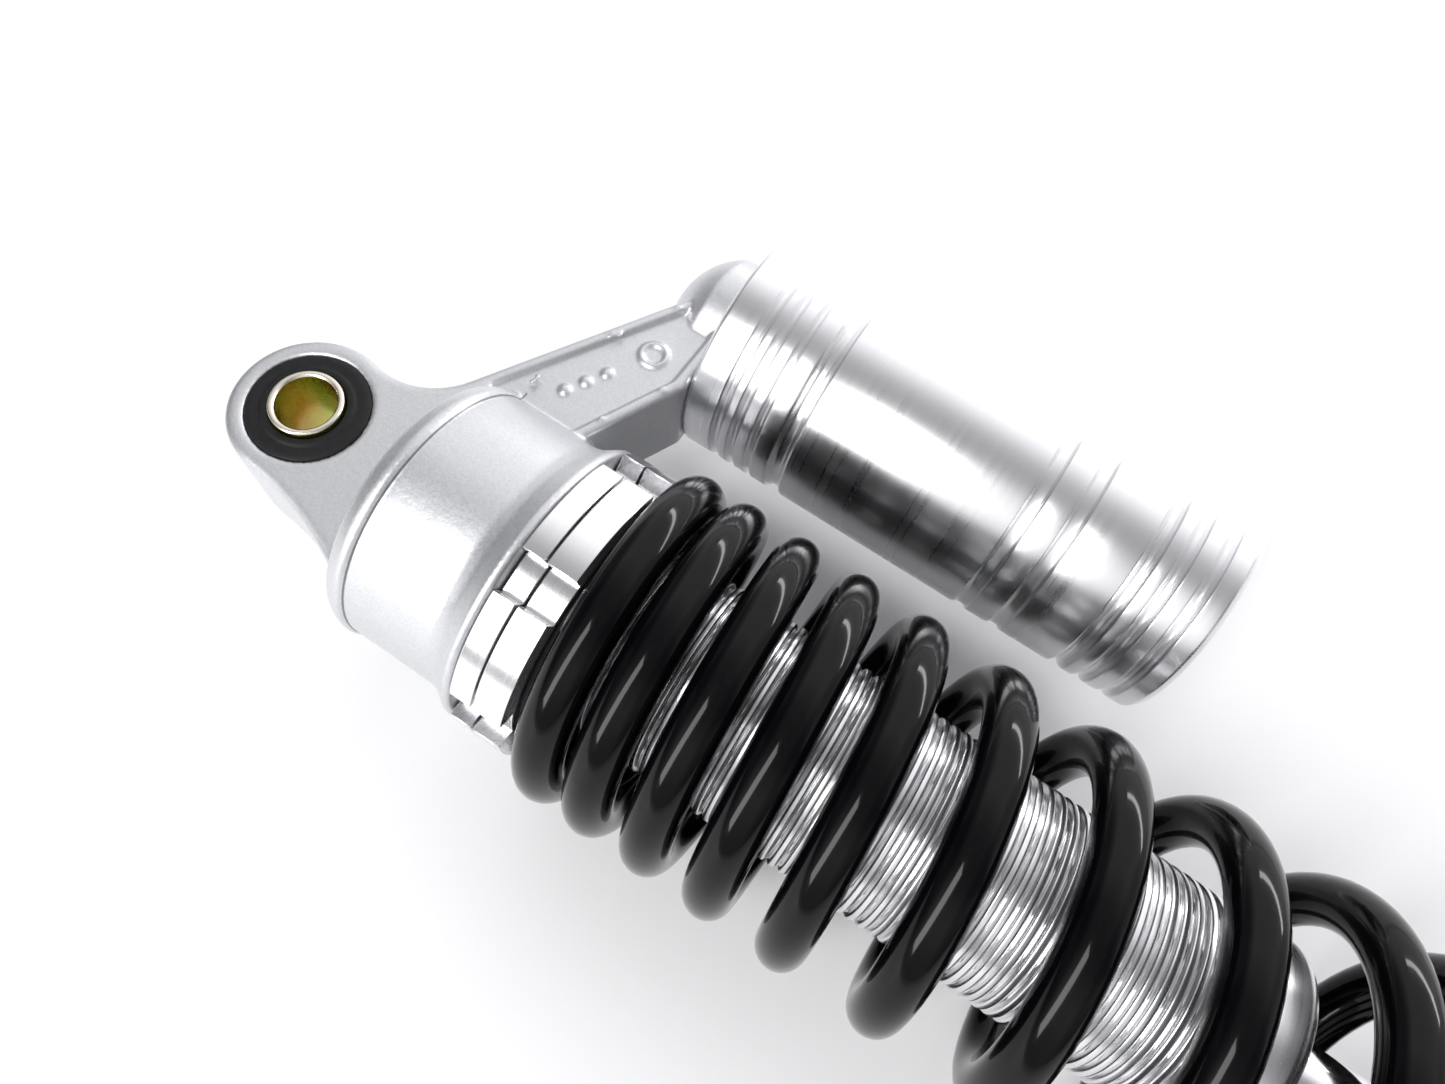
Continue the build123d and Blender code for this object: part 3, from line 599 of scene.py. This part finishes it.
# %% Powder coat
def powder_coat():
    material, tree, shader = new_material("powder_coat")
    where = own_place(tree)
    flow = noise(tree, where, 420.0, 2.0, 0.5)
    pinhole = noise(tree, where, 2600.0, 2.0, 0.6)
    cloud = use(tree, haze, Scale=55.0, Spread=0.09)
    lines = use(tree, hairlines, Density=0.35)
    base = tint(tree, cloud.outputs["Dust"], (0.0015, 0.0013, 0.0019), (0.02, 0.02, 0.022))
    tree.links.new(tint(tree, lines.outputs["Mask"], base, (0.006, 0.006, 0.007)), shader.inputs["Base Color"])
    shader.inputs["Specular IOR Level"].default_value = 0.04
    rough = calc(tree, "ADD", calc(tree, "ADD", 0.20, cloud.outputs["Offset"]),
                 calc(tree, "MULTIPLY", lines.outputs["Mask"], 0.15), clamp=True)
    tree.links.new(rough, shader.inputs["Roughness"])
    shader.inputs["Coat Weight"].default_value = 0.62
    shader.inputs["Coat IOR"].default_value = 1.34
    shader.inputs["Coat Roughness"].default_value = 0.07
    soft = bump(tree, flow, 0.00005, 0.5)
    tree.links.new(bump(tree, pinhole, 0.000008, 0.4, soft), shader.inputs["Normal"])
    return material


# %% [markdown]
# ### Rubber
# Bushes and seals are moulded rubber: nearly black, matt, faintly grainy, with chalky dust from the mould
# release and greyer worn edges.

# %% Rubber
def rubber(name, tone=0.007, roughness=0.55):
    material, tree, shader = new_material(name)
    where = own_place(tree)
    grain = noise(tree, where, 4200.0, 3.0, 0.6)
    mould = noise(tree, where, 600.0, 3.0, 0.5)
    cloud = use(tree, haze, Scale=160.0, Spread=0.2)
    wear = use(tree, edge_wear, Radius=0.0004, Amount=0.5, Patch_Scale=1800.0)
    base = tint(tree, mould, (tone, tone, tone * 1.1), (tone * 2.2, tone * 2.2, tone * 2.4))
    chalk = tint(tree, wear.outputs["Mask"], base, (0.055, 0.055, 0.06))
    tree.links.new(tint(tree, cloud.outputs["Dust"], chalk, (0.16, 0.16, 0.16)), shader.inputs["Base Color"])
    tree.links.new(calc(tree, "ADD", roughness, cloud.outputs["Offset"], clamp=True), shader.inputs["Roughness"])
    shader.inputs["Specular IOR Level"].default_value = 0.22
    broad = bump(tree, mould, 0.00004, 0.5)
    tree.links.new(bump(tree, grain, 0.000012, 0.6, broad), shader.inputs["Normal"])
    return material


# %% [markdown]
# ### Yellow zinc
# The bolt sleeves are zinc plated and yellow passivated. The film is so thin that its colour drifts from
# straw through orange to green, and its cut ends are nearly bare steel.

# %% Yellow zinc
def yellow_zinc():
    material, tree, shader = new_material("yellow_zinc")
    where = own_place(tree)
    parts = node_of(tree, "ShaderNodeSeparateXYZ", (-700, 0))
    tree.links.new(where, parts.inputs[0])
    drift = noise(tree, where, 130.0, 2.0, 0.5)
    film = node_of(tree, "ShaderNodeValToRGB", (-200, 200))
    stops = film.color_ramp.elements
    stops[0].position, stops[0].color = 0.25, (0.50, 0.24, 0.05, 1)
    stops[1].position, stops[1].color = 0.75, (0.36, 0.42, 0.08, 1)
    straw = stops.new(0.5)
    straw.color = (0.55, 0.42, 0.12, 1)
    across = band(tree, parts.outputs["X"], -6.0 * MM, -1.5 * MM, -0.20, 0.30)
    tree.links.new(calc(tree, "ADD", drift, across), film.inputs["Fac"])
    depth = calc(tree, "ABSOLUTE", parts.outputs["Z"])
    end_face = band(tree, depth, sleeve_top - 0.55 * MM, sleeve_top - 0.15 * MM)
    wear = use(tree, edge_wear, Radius=0.0003, Amount=0.6, Patch_Scale=2500.0)
    lines = use(tree, hairlines, Density=0.6)
    pale = tint(tree, end_face, film.outputs["Color"], (0.83, 0.78, 0.66))
    tree.links.new(tint(tree, wear.outputs["Mask"], pale, (0.93, 0.90, 0.84)), shader.inputs["Base Color"])
    shader.inputs["Metallic"].default_value = 1.0
    rough = calc(tree, "ADD", band(tree, drift, 0.3, 0.7, 0.20, 0.32),
                 calc(tree, "MULTIPLY", lines.outputs["Mask"], 0.2))
    tree.links.new(rough, shader.inputs["Roughness"])
    grain = noise(tree, where, 900.0, 3.0, 0.6, stretch=(1, 1, 6))
    tree.links.new(bump(tree, grain, 0.00001, 0.6), shader.inputs["Normal"])
    return material


# %% [markdown]
# ### Plain finishes of the inner and lower parts
# Hard chrome on the rod, oiled steel on shims and circlips, moulded plastic, foam and brass each get
# their own colour variation, roughness and grain from the same few tools.

# %% Other finishes
def plain_finish(name, colour_a, colour_b, roughness, metallic, grain_scale, grain_depth, scratches=0.3):
    material, tree, shader = new_material(name)
    where = own_place(tree)
    mottle = noise(tree, where, grain_scale * 0.12, 4.0, 0.6)
    grain = noise(tree, where, grain_scale, 3.0, 0.6)
    lines = use(tree, hairlines, Density=scratches)
    cloud = use(tree, haze, Scale=90.0, Spread=0.12)
    wear = use(tree, edge_wear, Radius=0.0004, Amount=0.4, Patch_Scale=1600.0)
    base = tint(tree, band(tree, mottle, 0.35, 0.65), colour_a, colour_b)
    lighter = tuple(min(1.0, c * 1.5 + 0.04) for c in colour_b)
    tree.links.new(tint(tree, wear.outputs["Mask"], base, lighter), shader.inputs["Base Color"])
    shader.inputs["Metallic"].default_value = metallic
    rough = calc(tree, "ADD", calc(tree, "ADD", roughness, cloud.outputs["Offset"]),
                 calc(tree, "MULTIPLY", lines.outputs["Mask"], 0.15), clamp=True)
    tree.links.new(rough, shader.inputs["Roughness"])
    tree.links.new(bump(tree, grain, grain_depth, 0.6), shader.inputs["Normal"])
    return material


sleeve_top = span("upper_sleeve", 2)[1]
reservoir_y = middle("reservoir_body", 1)
finishes = {
    "cast": cast_paint(),
    "ring": turned_metal("ring_aluminium", (0.90, 0.90, 0.91), (0.84, 0.84, 0.85), 0.26, 0.000004,
                         scratches=0.3, fine=5000.0),
    "reservoir": turned_metal("reservoir_aluminium", (0.92, 0.92, 0.93), (0.89, 0.89, 0.91), 0.29, 0.000002,
                              axis_y=reservoir_y, scratches=0.12, fine=6000.0, blur=0.62, patches=0.03),
    "thread": turned_metal("thread_plating", (0.86, 0.86, 0.87), (0.78, 0.78, 0.80), 0.27, 0.000001, scratches=0.05,
                           blur=0.3, patches=0.03),
    "spring": powder_coat(),
    "bush": rubber("bush_rubber"),
    "seal": rubber("seal_rubber", 0.010, 0.45),
    "zinc": yellow_zinc(),
    "chrome": plain_finish("hard_chrome", (0.80, 0.80, 0.82), (0.86, 0.86, 0.88), 0.07, 1.0, 1500.0, 0.000003, 0.5),
    "steel": plain_finish("oiled_steel", (0.22, 0.22, 0.23), (0.38, 0.38, 0.39), 0.32, 1.0, 2500.0, 0.00001, 0.6),
    "band": plain_finish("slide_plastic", (0.16, 0.12, 0.08), (0.24, 0.18, 0.12), 0.5, 0.0, 3000.0, 0.00002),
    "nylon": plain_finish("black_nylon", (0.016, 0.016, 0.017), (0.03, 0.03, 0.032), 0.42, 0.0, 3500.0, 0.00002),
    "foam": plain_finish("bump_foam", (0.035, 0.035, 0.037), (0.06, 0.06, 0.062), 0.75, 0.0, 2200.0, 0.00008, 0.1),
    "brass": plain_finish("valve_brass", (0.62, 0.46, 0.20), (0.76, 0.60, 0.30), 0.25, 1.0, 1800.0, 0.00001, 0.6),
}
print("finishes:", ", ".join(finishes))

# %% [markdown]
# ## Cast head
# The casting has soft edges: where two walls meet there is a fillet, and where a wall ends there is a
# rounding, because metal has to flow and the part has to leave its mould. Filleting every edge in turn is
# slow work. Instead the crisp CAD shape and a few added mould marks are fused by a voxel remesh, and a
# light smoothing rounds every edge by about the same amount, as a casting's edges are.

# %% Fuse and soften
def fused_casting(name, node, extras, voxel, smoothing):
    """One closed cast skin from a CAD node and extra closed lumps, with softly rounded edges."""
    source = frame["nodes"][node]
    joined = bmesh.new()
    joined.from_mesh(source.data)
    for points, faces in extras:
        made = [joined.verts.new(p) for p in points]
        for face in faces:
            joined.faces.new([made[i] for i in face])
    bmesh.ops.remove_doubles(joined, verts=joined.verts, dist=1e-6)
    mesh = bpy.data.meshes.new(name)
    joined.to_mesh(mesh)
    joined.free()
    raw = bpy.data.objects.new(name + "_raw", mesh)
    bpy.context.scene.collection.objects.link(raw)
    fuse = raw.modifiers.new("fuse", "REMESH")
    fuse.mode = "VOXEL"
    fuse.voxel_size = voxel
    fuse.use_smooth_shade = True
    soft = raw.modifiers.new("soft", "SMOOTH")
    soft.factor = 0.5
    soft.iterations = smoothing
    bpy.context.view_layer.update()
    final = bpy.data.meshes.new_from_object(raw.evaluated_get(bpy.context.evaluated_depsgraph_get()))
    bpy.data.objects.remove(raw)
    piece = bpy.data.objects.new(name, final)
    bpy.context.scene.collection.objects.link(piece)
    return piece


def dome(centre, radius, height, sides=12, rows=4):
    """A small closed bump that stands on the face z = centre.z, as points and faces."""
    points = [(centre[0], centre[1], centre[2] + height)]
    for row in range(1, rows + 1):
        angle = row / rows * math.pi / 2
        for j in range(sides):
            turn_angle = TAU * j / sides
            points.append((centre[0] + radius * math.sin(angle) * math.cos(turn_angle),
                           centre[1] + radius * math.sin(angle) * math.sin(turn_angle),
                           centre[2] + height * math.cos(angle)))
    points.append((centre[0], centre[1], centre[2] - height))
    last = len(points) - 1
    faces = [(0, 1 + j, 1 + (j + 1) % sides) for j in range(sides)]
    for row in range(rows - 1):
        start = 1 + row * sides
        for j in range(sides):
            k = (j + 1) % sides
            faces.append((start + j, start + sides + j, start + sides + k, start + k))
    start = 1 + (rows - 1) * sides
    faces += [(last, start + (j + 1) % sides, start + j) for j in range(sides)]
    return points, faces


# Small nubs left by the mould stand along the rims of the arm's pocket
arm_angle = math.radians(61.0)
arm_way = Vector((math.cos(arm_angle), math.sin(arm_angle), 0))
arm_side = Vector((math.sin(arm_angle), -math.cos(arm_angle), 0))
arm_root = Vector((17.6, 19.65, 0)) * MM
plate_top = 10.0 * MM
nub_radius, nub_height, nub_sink = 0.7 * MM, 0.45 * MM, 0.1 * MM
nubs = []
for along, across in ((9.5, 4.9), (10.6, 4.4), (25.9, 1.9), (27.2, 2.3), (39.1, 1.5), (28.8, 15.6), (16.9, 16.3)):
    spot = arm_root + arm_way * along * MM + arm_side * across * MM
    nubs.append(dome((spot.x, spot.y, plate_top - nub_sink), nub_radius, nub_height))
head = fused_casting("cast_head", "head_casting", nubs, 0.42 * MM, 4)

# The skin dips a little towards the fine line between flange and barrel
groove_width, groove_depth, groove_reach = 0.45 * MM, 0.15 * MM, 1.5 * MM
for vertex in head.data.vertices:
    spot = vertex.co
    reach = math.hypot(spot.y, spot.z)
    if abs(spot.x - groove_x) < groove_reach and 22.0 * MM < reach < 25.0 * MM:
        dip = groove_depth * math.exp(-((spot.x - groove_x) / groove_width) ** 2)
        spot.y *= 1 - dip / reach
        spot.z *= 1 - dip / reach
place(head, "shock_body", "cast_aluminium", finishes["cast"], ["head_casting"])


# %% [markdown]
# ## Bushes and sleeves
# Each eye holds a moulded rubber bush round a steel sleeve. The rubber's outer lip stands a little proud
# of the eye, a shallow step runs round the sleeve, and the parting line leaves a ragged flash. The sleeve
# is a cut tube: its ends are chamfered inside and out, and stand proud of the rubber so the bolt clamps
# steel, never rubber.

# %% Bushes and sleeves
def bush_outline(inner, outer, top):
    """Half-outline of a bush, as (z, radius): a proud outer lip and a shallow step at the sleeve."""
    half = [
        (0, inner), (top - 0.1 * MM, inner), (top + 0.15 * MM, inner + 0.3 * MM),
        (top + 0.15 * MM, inner + 1.2 * MM), (top - 0.2 * MM, inner + 1.6 * MM),
        (top - 0.1 * MM, outer - 1.0 * MM), (top - 0.35 * MM, outer - 0.15 * MM), (top - 0.8 * MM, outer),
    ]
    return half + [(-z, r) for z, r in reversed(half) if z > 0]


flash_rng = np.random.default_rng(7)
flash_wave = flash_rng.uniform(-1, 1, 160)
for eye in ("upper", "lower"):
    centre = mounts[eye + "_eye"]
    bush_node, sleeve_node = eye + "_bush", eye + "_sleeve"
    bush_top = span(bush_node, 2)[1]
    bush_outer = (span(bush_node)[1] - span(bush_node)[0]) / 2
    sleeve_outer = (span(sleeve_node)[1] - span(sleeve_node)[0]) / 2
    sleeve_bore = record["mounts"][0]["dims"]["r_mm"] * MM

    def flash(along, radius, angle, outer=bush_outer, top=bush_top):
        """Ragged flash where the mould halves met, on the lip just above the eye's face."""
        if radius > outer - 0.4 * MM and abs(abs(along) - top + 0.5 * MM) < 0.5 * MM:
            return radius + 0.12 * MM * max(0, flash_wave[int(angle / TAU * 160) % 160])
        return radius

    outline = soften(bush_outline(sleeve_outer + 0.05 * MM, bush_outer, bush_top), 0.3 * MM)
    bush = turn(eye + "_eye_rubber", outline, 160, centre[:2], "Z", flash)
    place(bush, body_of_node(bush_node), "bush_rubber", finishes["bush"], [bush_node])
    sleeve_outline = soften([
        (-sleeve_top, sleeve_bore + 0.35 * MM), (-sleeve_top + 0.35 * MM, sleeve_bore),
        (sleeve_top - 0.35 * MM, sleeve_bore), (sleeve_top, sleeve_bore + 0.35 * MM),
        (sleeve_top, sleeve_outer - 0.25 * MM), (sleeve_top - 0.25 * MM, sleeve_outer),
        (-sleeve_top + 0.25 * MM, sleeve_outer), (-sleeve_top, sleeve_outer - 0.25 * MM),
    ], 0.12 * MM)
    sleeve = turn(eye + "_bolt_sleeve", sleeve_outline, 128, centre[:2], "Z")
    place(sleeve, body_of_node(sleeve_node), "yellow_zinc", finishes["zinc"], [sleeve_node])

# %% [markdown]
# ## Threaded damper tube
# The thread is rolled: a tool presses a narrow groove in and leaves a broad, flat crest. The crest
# climbs one pitch each turn, so its radius depends on the place along the tube less the angle. A grid of
# rings with that radius is a true helical thread, which a stack of closed grooves never looks like.

# %% Damper tube
tube_start, tube_end = span("damper_tube")
tube_radius = span("damper_tube", 2)[1]
tube_bore = 14.0 * MM
guide_bore = 14.6 * MM
thread_pitch = 2.0 * MM
thread_depth = 0.7 * MM
thread_start = span("lock_ring")[0] - 0.5 * MM
thread_end = tube_end - 8.0 * MM
rows_per_turn = 14


def thread_radius(along, radius, angle):
    """Radius of a rolled right-hand thread that fades out over one pitch at each end."""
    if radius < tube_radius - 0.2 * MM or not thread_start < along < thread_end:
        return radius
    fade = min(1.0, (along - thread_start) / thread_pitch, (thread_end - along) / thread_pitch)
    phase = along / thread_pitch - angle / TAU
    valley = (0.5 - 0.5 * math.cos(TAU * phase)) ** 3
    return radius - thread_depth * valley * fade


row_count = int((thread_end - thread_start) / thread_pitch * rows_per_turn)
rows = [thread_start + (thread_end - thread_start) * i / row_count for i in range(row_count + 1)]
tube_outline = [(tube_start, tube_bore), (tube_start, tube_radius)]
tube_outline += [(x, tube_radius) for x in rows]
end_round = 2.6 * MM
for step in range(7):
    angle = step / 6 * math.pi / 2
    tube_outline.append((tube_end - end_round + end_round * math.sin(angle),
                         tube_radius - end_round + end_round * math.cos(angle)))
tube_outline += [(tube_end, guide_bore - 0.5 * MM), (tube_end - 1.0 * MM, guide_bore),
                 (span("guide_circlip")[1], guide_bore), (span("guide_circlip")[0], guide_bore),
                 (span("rod_guide")[0], guide_bore), (span("rod_guide")[0], tube_bore)]
tube = turn("threaded_tube", tube_outline, 144, radius_at=thread_radius)
place(tube, "shock_body", "thread_steel", finishes["thread"], ["damper_tube"])

# %% [markdown]
# ## Spring
# The spring is one 8 mm wire. Its coils lie close at the upper end and open towards the lower, which makes
# it soft at first and stiff later. Both ends are closed and ground flat. The wire is swept by a loop: at
# each step a circle is laid square to the wire's direction.
#
# The rod shortens the spring and the preload ring pushes its upper end, so the spring crosses two joints.
# A piece can follow only one, so the wire is two pieces that meet inside a fixed coil.

# %% Spring shape
wire_radius = 4.0 * MM
coil_radius = (span("coil_spring", 2)[1] - span("coil_spring", 2)[0]) / 2 - wire_radius
spring_start, spring_end = span("coil_spring")
tip_angle = math.radians(-145)
tip_inset = 0.2 * MM
closed_pitch, main_pitch = 8.15, 21.4
pitch_rise = [(0.0, 8.15), (1.0, 8.15), (1.6, 10.0), (3.4, 11.2), (4.5, 13.0), (5.5, 16.5), (6.5, 18.8), (8.0, 21.4)]
fall_turns, closed_turns = 0.8, 1.0


def covered(spans):
    """Length in mm that a run of evenly changing pitch covers."""
    return sum((b[0] - a[0]) * (a[1] + b[1]) / 2 for a, b in zip(spans, spans[1:]))


ends = covered(pitch_rise) + fall_turns * (main_pitch + closed_pitch) / 2 + closed_turns * closed_pitch
open_turns = ((spring_end - spring_start + 2 * tip_inset) / MM - ends) / main_pitch
main_last = pitch_rise[-1][0] + open_turns
turns = main_last + fall_turns + closed_turns
pitch_plan = pitch_rise + [(main_last, main_pitch), (main_last + fall_turns, closed_pitch), (turns, closed_pitch)]
sections_per_turn, wire_sides = 60, 28
section_count = int(turns * sections_per_turn)
turn_at = np.linspace(0, turns, section_count + 1)
pitch_at = np.interp(turn_at, [p[0] for p in pitch_plan], [p[1] for p in pitch_plan]) * MM
step_x = np.diff(turn_at) * (pitch_at[1:] + pitch_at[:-1]) / 2
wire_x = spring_start - tip_inset + np.concatenate([[0], np.cumsum(step_x)])
wire_angle = tip_angle + TAU * turn_at


# %% Spring pieces
def wire_piece(name, first, last):
    """The wire from one section to another, closed at both ends, ground flat where it passes the seats."""
    points, faces = [], []
    for i in range(first, last + 1):
        angle = wire_angle[i]
        outward = np.array([0, math.cos(angle), math.sin(angle)])
        slope = np.array([pitch_at[i], -TAU * coil_radius * math.sin(angle), TAU * coil_radius * math.cos(angle)])
        slope /= np.linalg.norm(slope)
        lift = np.cross(slope, outward)
        centre = np.array([wire_x[i], 0, 0]) + outward * coil_radius
        for j in range(wire_sides):
            turn_angle = TAU * j / wire_sides
            point = centre + wire_radius * (outward * math.cos(turn_angle) + lift * math.sin(turn_angle))
            point[0] = min(max(point[0], spring_start), spring_end)
            points.append(tuple(point))
    rows = last - first
    for i in range(rows):
        for j in range(wire_sides):
            k = (j + 1) % wire_sides
            faces.append((i * wire_sides + j, i * wire_sides + k, (i + 1) * wire_sides + k, (i + 1) * wire_sides + j))
    faces.append(tuple(range(wire_sides)))
    faces.append(tuple(rows * wire_sides + j for j in range(wire_sides)))
    return add_mesh(name, points, faces, 50)


def share_travel(piece):
    """Bakes the piece's placement into its mesh."""
    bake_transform(piece)


split_turn = 5
split = split_turn * sections_per_turn
upper_coils = wire_piece("spring_upper_coils", 0, split)
lower_coils = wire_piece("spring_lower_coils", split, section_count)
for coils in (upper_coils, lower_coils):
    coils.data.materials.append(finishes["spring"])
    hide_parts("coil_spring")
share_travel(upper_coils)
share_travel(lower_coils)

# %% [markdown]
# ## Spanner rings
# Two rings run on the tube's thread. The one next to the spring sets its preload, the other locks it. Six
# square notches in each rim take a hook spanner. A turned disc can't have notches, so the outline is drawn
# around the rim once, corner by corner, and then given its width.

# %% Rings
def notched_ring(name, node, bore, floor, notch_width, first_notch, recess_radius=0.0, recess_depth=0.0):
    """A ring with square spanner notches, rounded on every edge by a bevel."""
    start, end = span(node)
    rim = (span(node, 2)[1] - span(node, 2)[0]) / 2
    half = notch_width / 2
    outline = []
    notch_count, land_steps, floor_steps = 6, 22, 6
    for notch in range(notch_count):
        centre_angle = math.radians(first_notch) + TAU * notch / notch_count
        at_rim, at_floor = math.asin(half / rim), math.asin(half / floor)
        outline.append((rim, centre_angle - at_rim))
        for step in range(floor_steps + 1):
            outline.append((floor, centre_angle + at_floor * (2 * step / floor_steps - 1)))
        land = TAU / notch_count - 2 * at_rim
        for step in range(land_steps):
            outline.append((rim, centre_angle + at_rim + land * step / land_steps))
    count = len(outline)
    inner_end = [(end, recess_radius), (end - recess_depth, recess_radius)] if recess_depth else []
    loops = [[(start, bore, a) for r, a in outline], [(start, r, a) for r, a in outline],
             [(end, r, a) for r, a in outline]]
    for x, r in inner_end:
        loops.append([(x, r, a) for _, a in outline])
    loops.append([(end - recess_depth, bore, a) for _, a in outline])
    points = [(x, r * math.cos(a), r * math.sin(a)) for loop in loops for x, r, a in loop]
    faces = []
    for i in range(len(loops)):
        after = (i + 1) % len(loops)
        for j in range(count):
            k = (j + 1) % count
            faces.append((i * count + j, i * count + k, after * count + k, after * count + j))
    ring = add_mesh(name, points, faces, 30)
    bevel = ring.modifiers.new("edge", "BEVEL")
    bevel.width = 0.28 * MM
    bevel.segments = 3
    bevel.limit_method = "ANGLE"
    bevel.angle_limit = math.radians(40)
    bevel.use_clamp_overlap = True
    return ring


ring_bore = tube_radius + 0.05 * MM
notch_floor, notch_width, first_notch = 23.0 * MM, 7.2 * MM, 107.5
lock_ring = notched_ring("lock_ring_turned", "lock_ring", ring_bore, notch_floor, notch_width, first_notch)
place(lock_ring, "lock", "ring_aluminium", finishes["ring"], ["lock_ring"])
guide_flange = (span("spring_guide", 2)[1] - span("spring_guide", 2)[0]) / 2
# The recess clears the spring guide's flange all round and in depth, so the ring turns free of it
recess_radius, recess_depth = guide_flange + 0.3 * MM, 1.3 * MM
adjuster = notched_ring("adjuster_ring_turned", "adjuster_ring", ring_bore, notch_floor, notch_width, first_notch,
                        recess_radius, recess_depth)
place(adjuster, "adjuster", "ring_aluminium", finishes["ring"], ["adjuster_ring"])

# %% [markdown]
# ## Reservoir
# The reservoir is a can turned from bar: three narrow grooves and a wide one next to the arm, two shallow
# bands in the middle and three grooves near the open end. Polishing rounds every ridge, so each groove is
# a smooth wave and not a box, and the corners are softened more than on the rings.

# %% Reservoir
res_start, res_end = span("reservoir_body")
res_radius = (span("reservoir_body", 2)[1] - span("reservoir_body", 2)[0]) / 2
res_bore, neck_bore = 18.0 * MM, 10.05 * MM
grooves = [(6.0, 2.4, 1.0), (9.6, 2.1, 1.1), (13.6, 1.7, 1.1), (18.0, 3.9, 1.2),
           (58.6, 3.0, 0.6), (65.6, 3.0, 0.6), (78.0, 3.1, 1.1), (82.8, 2.7, 1.1), (87.7, 2.5, 1.1)]
can = [(res_start, neck_bore), (res_start, res_radius - 0.7 * MM), (res_start + 0.7 * MM, res_radius)]
for place_mm, width, depth in grooves:
    slope = min(width * 0.42, depth * 1.3)
    for step in range(13):
        share = min(step, 12 - step) / 6
        along = slope * share if step <= 6 else width - slope * share
        dip = depth * (0.5 - 0.5 * math.cos(math.pi * share))
        can.append((res_start + (place_mm + along) * MM, res_radius - dip * MM))
clip_start, clip_end = span("cap_circlip")
can += [(res_end - 1.2 * MM, res_radius), (res_end, res_radius - 1.2 * MM), (res_end, res_bore + 0.6 * MM),
        (res_end - 0.6 * MM, res_bore), (clip_end + 0.05 * MM, res_bore), (clip_end + 0.05 * MM, res_bore + 1.2 * MM),
        (clip_start, res_bore + 1.2 * MM), (clip_start, res_bore), (res_start + 6.7 * MM, res_bore),
        (res_start + 6.7 * MM, neck_bore)]
reservoir = turn("reservoir_can", soften(can, 0.35 * MM, 4), 192, (reservoir_y, 0))
place(reservoir, "shock_body", "polished_aluminium", finishes["reservoir"], ["reservoir_body"])

# %% [markdown]
# ## Pieces that keep their CAD shape
# Seals, shims, circlips, the rod and its small parts already have their true shape in the frame, so they
# stay, and only get their finish.

# %% Finishes on the CAD nodes
by_finish = {
    "seal": ["tube_o_ring", "rod_seal", "guide_o_ring", "dust_wiper", "neck_o_ring", "cap_o_ring",
             "top_out_bumper", "floating_o_ring"],
    "ring": ["rod_guide", "piston", "spring_seat"],
    "reservoir": ["reservoir_cap", "floating_piston"],
    "band": ["guide_bushing", "piston_band", "floating_band"],
    "steel": ["seal_backup_ring", "guide_circlip", "cap_circlip", "compression_shims", "rebound_shims", "piston_nut"],
    "nylon": ["spring_guide", "valve_cap"],
    "chrome": ["piston_rod"],
    "foam": ["bump_stop"],
    "thread": ["bump_washer"],
    "brass": ["valve_body", "valve_pin"],
    "cast": ["lower_mount"],
}
for finish, nodes in by_finish.items():
    for node in nodes:
        mesh = frame["nodes"][node].data
        mesh.materials.clear()
        mesh.materials.append(finishes[finish])
print("CAD nodes finished:", sum(len(nodes) for nodes in by_finish.values()))

# %% Measure and finish
low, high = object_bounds()
print("visual box in mm:", [round(v / MM, 1) for corner in (low, high) for v in corner])
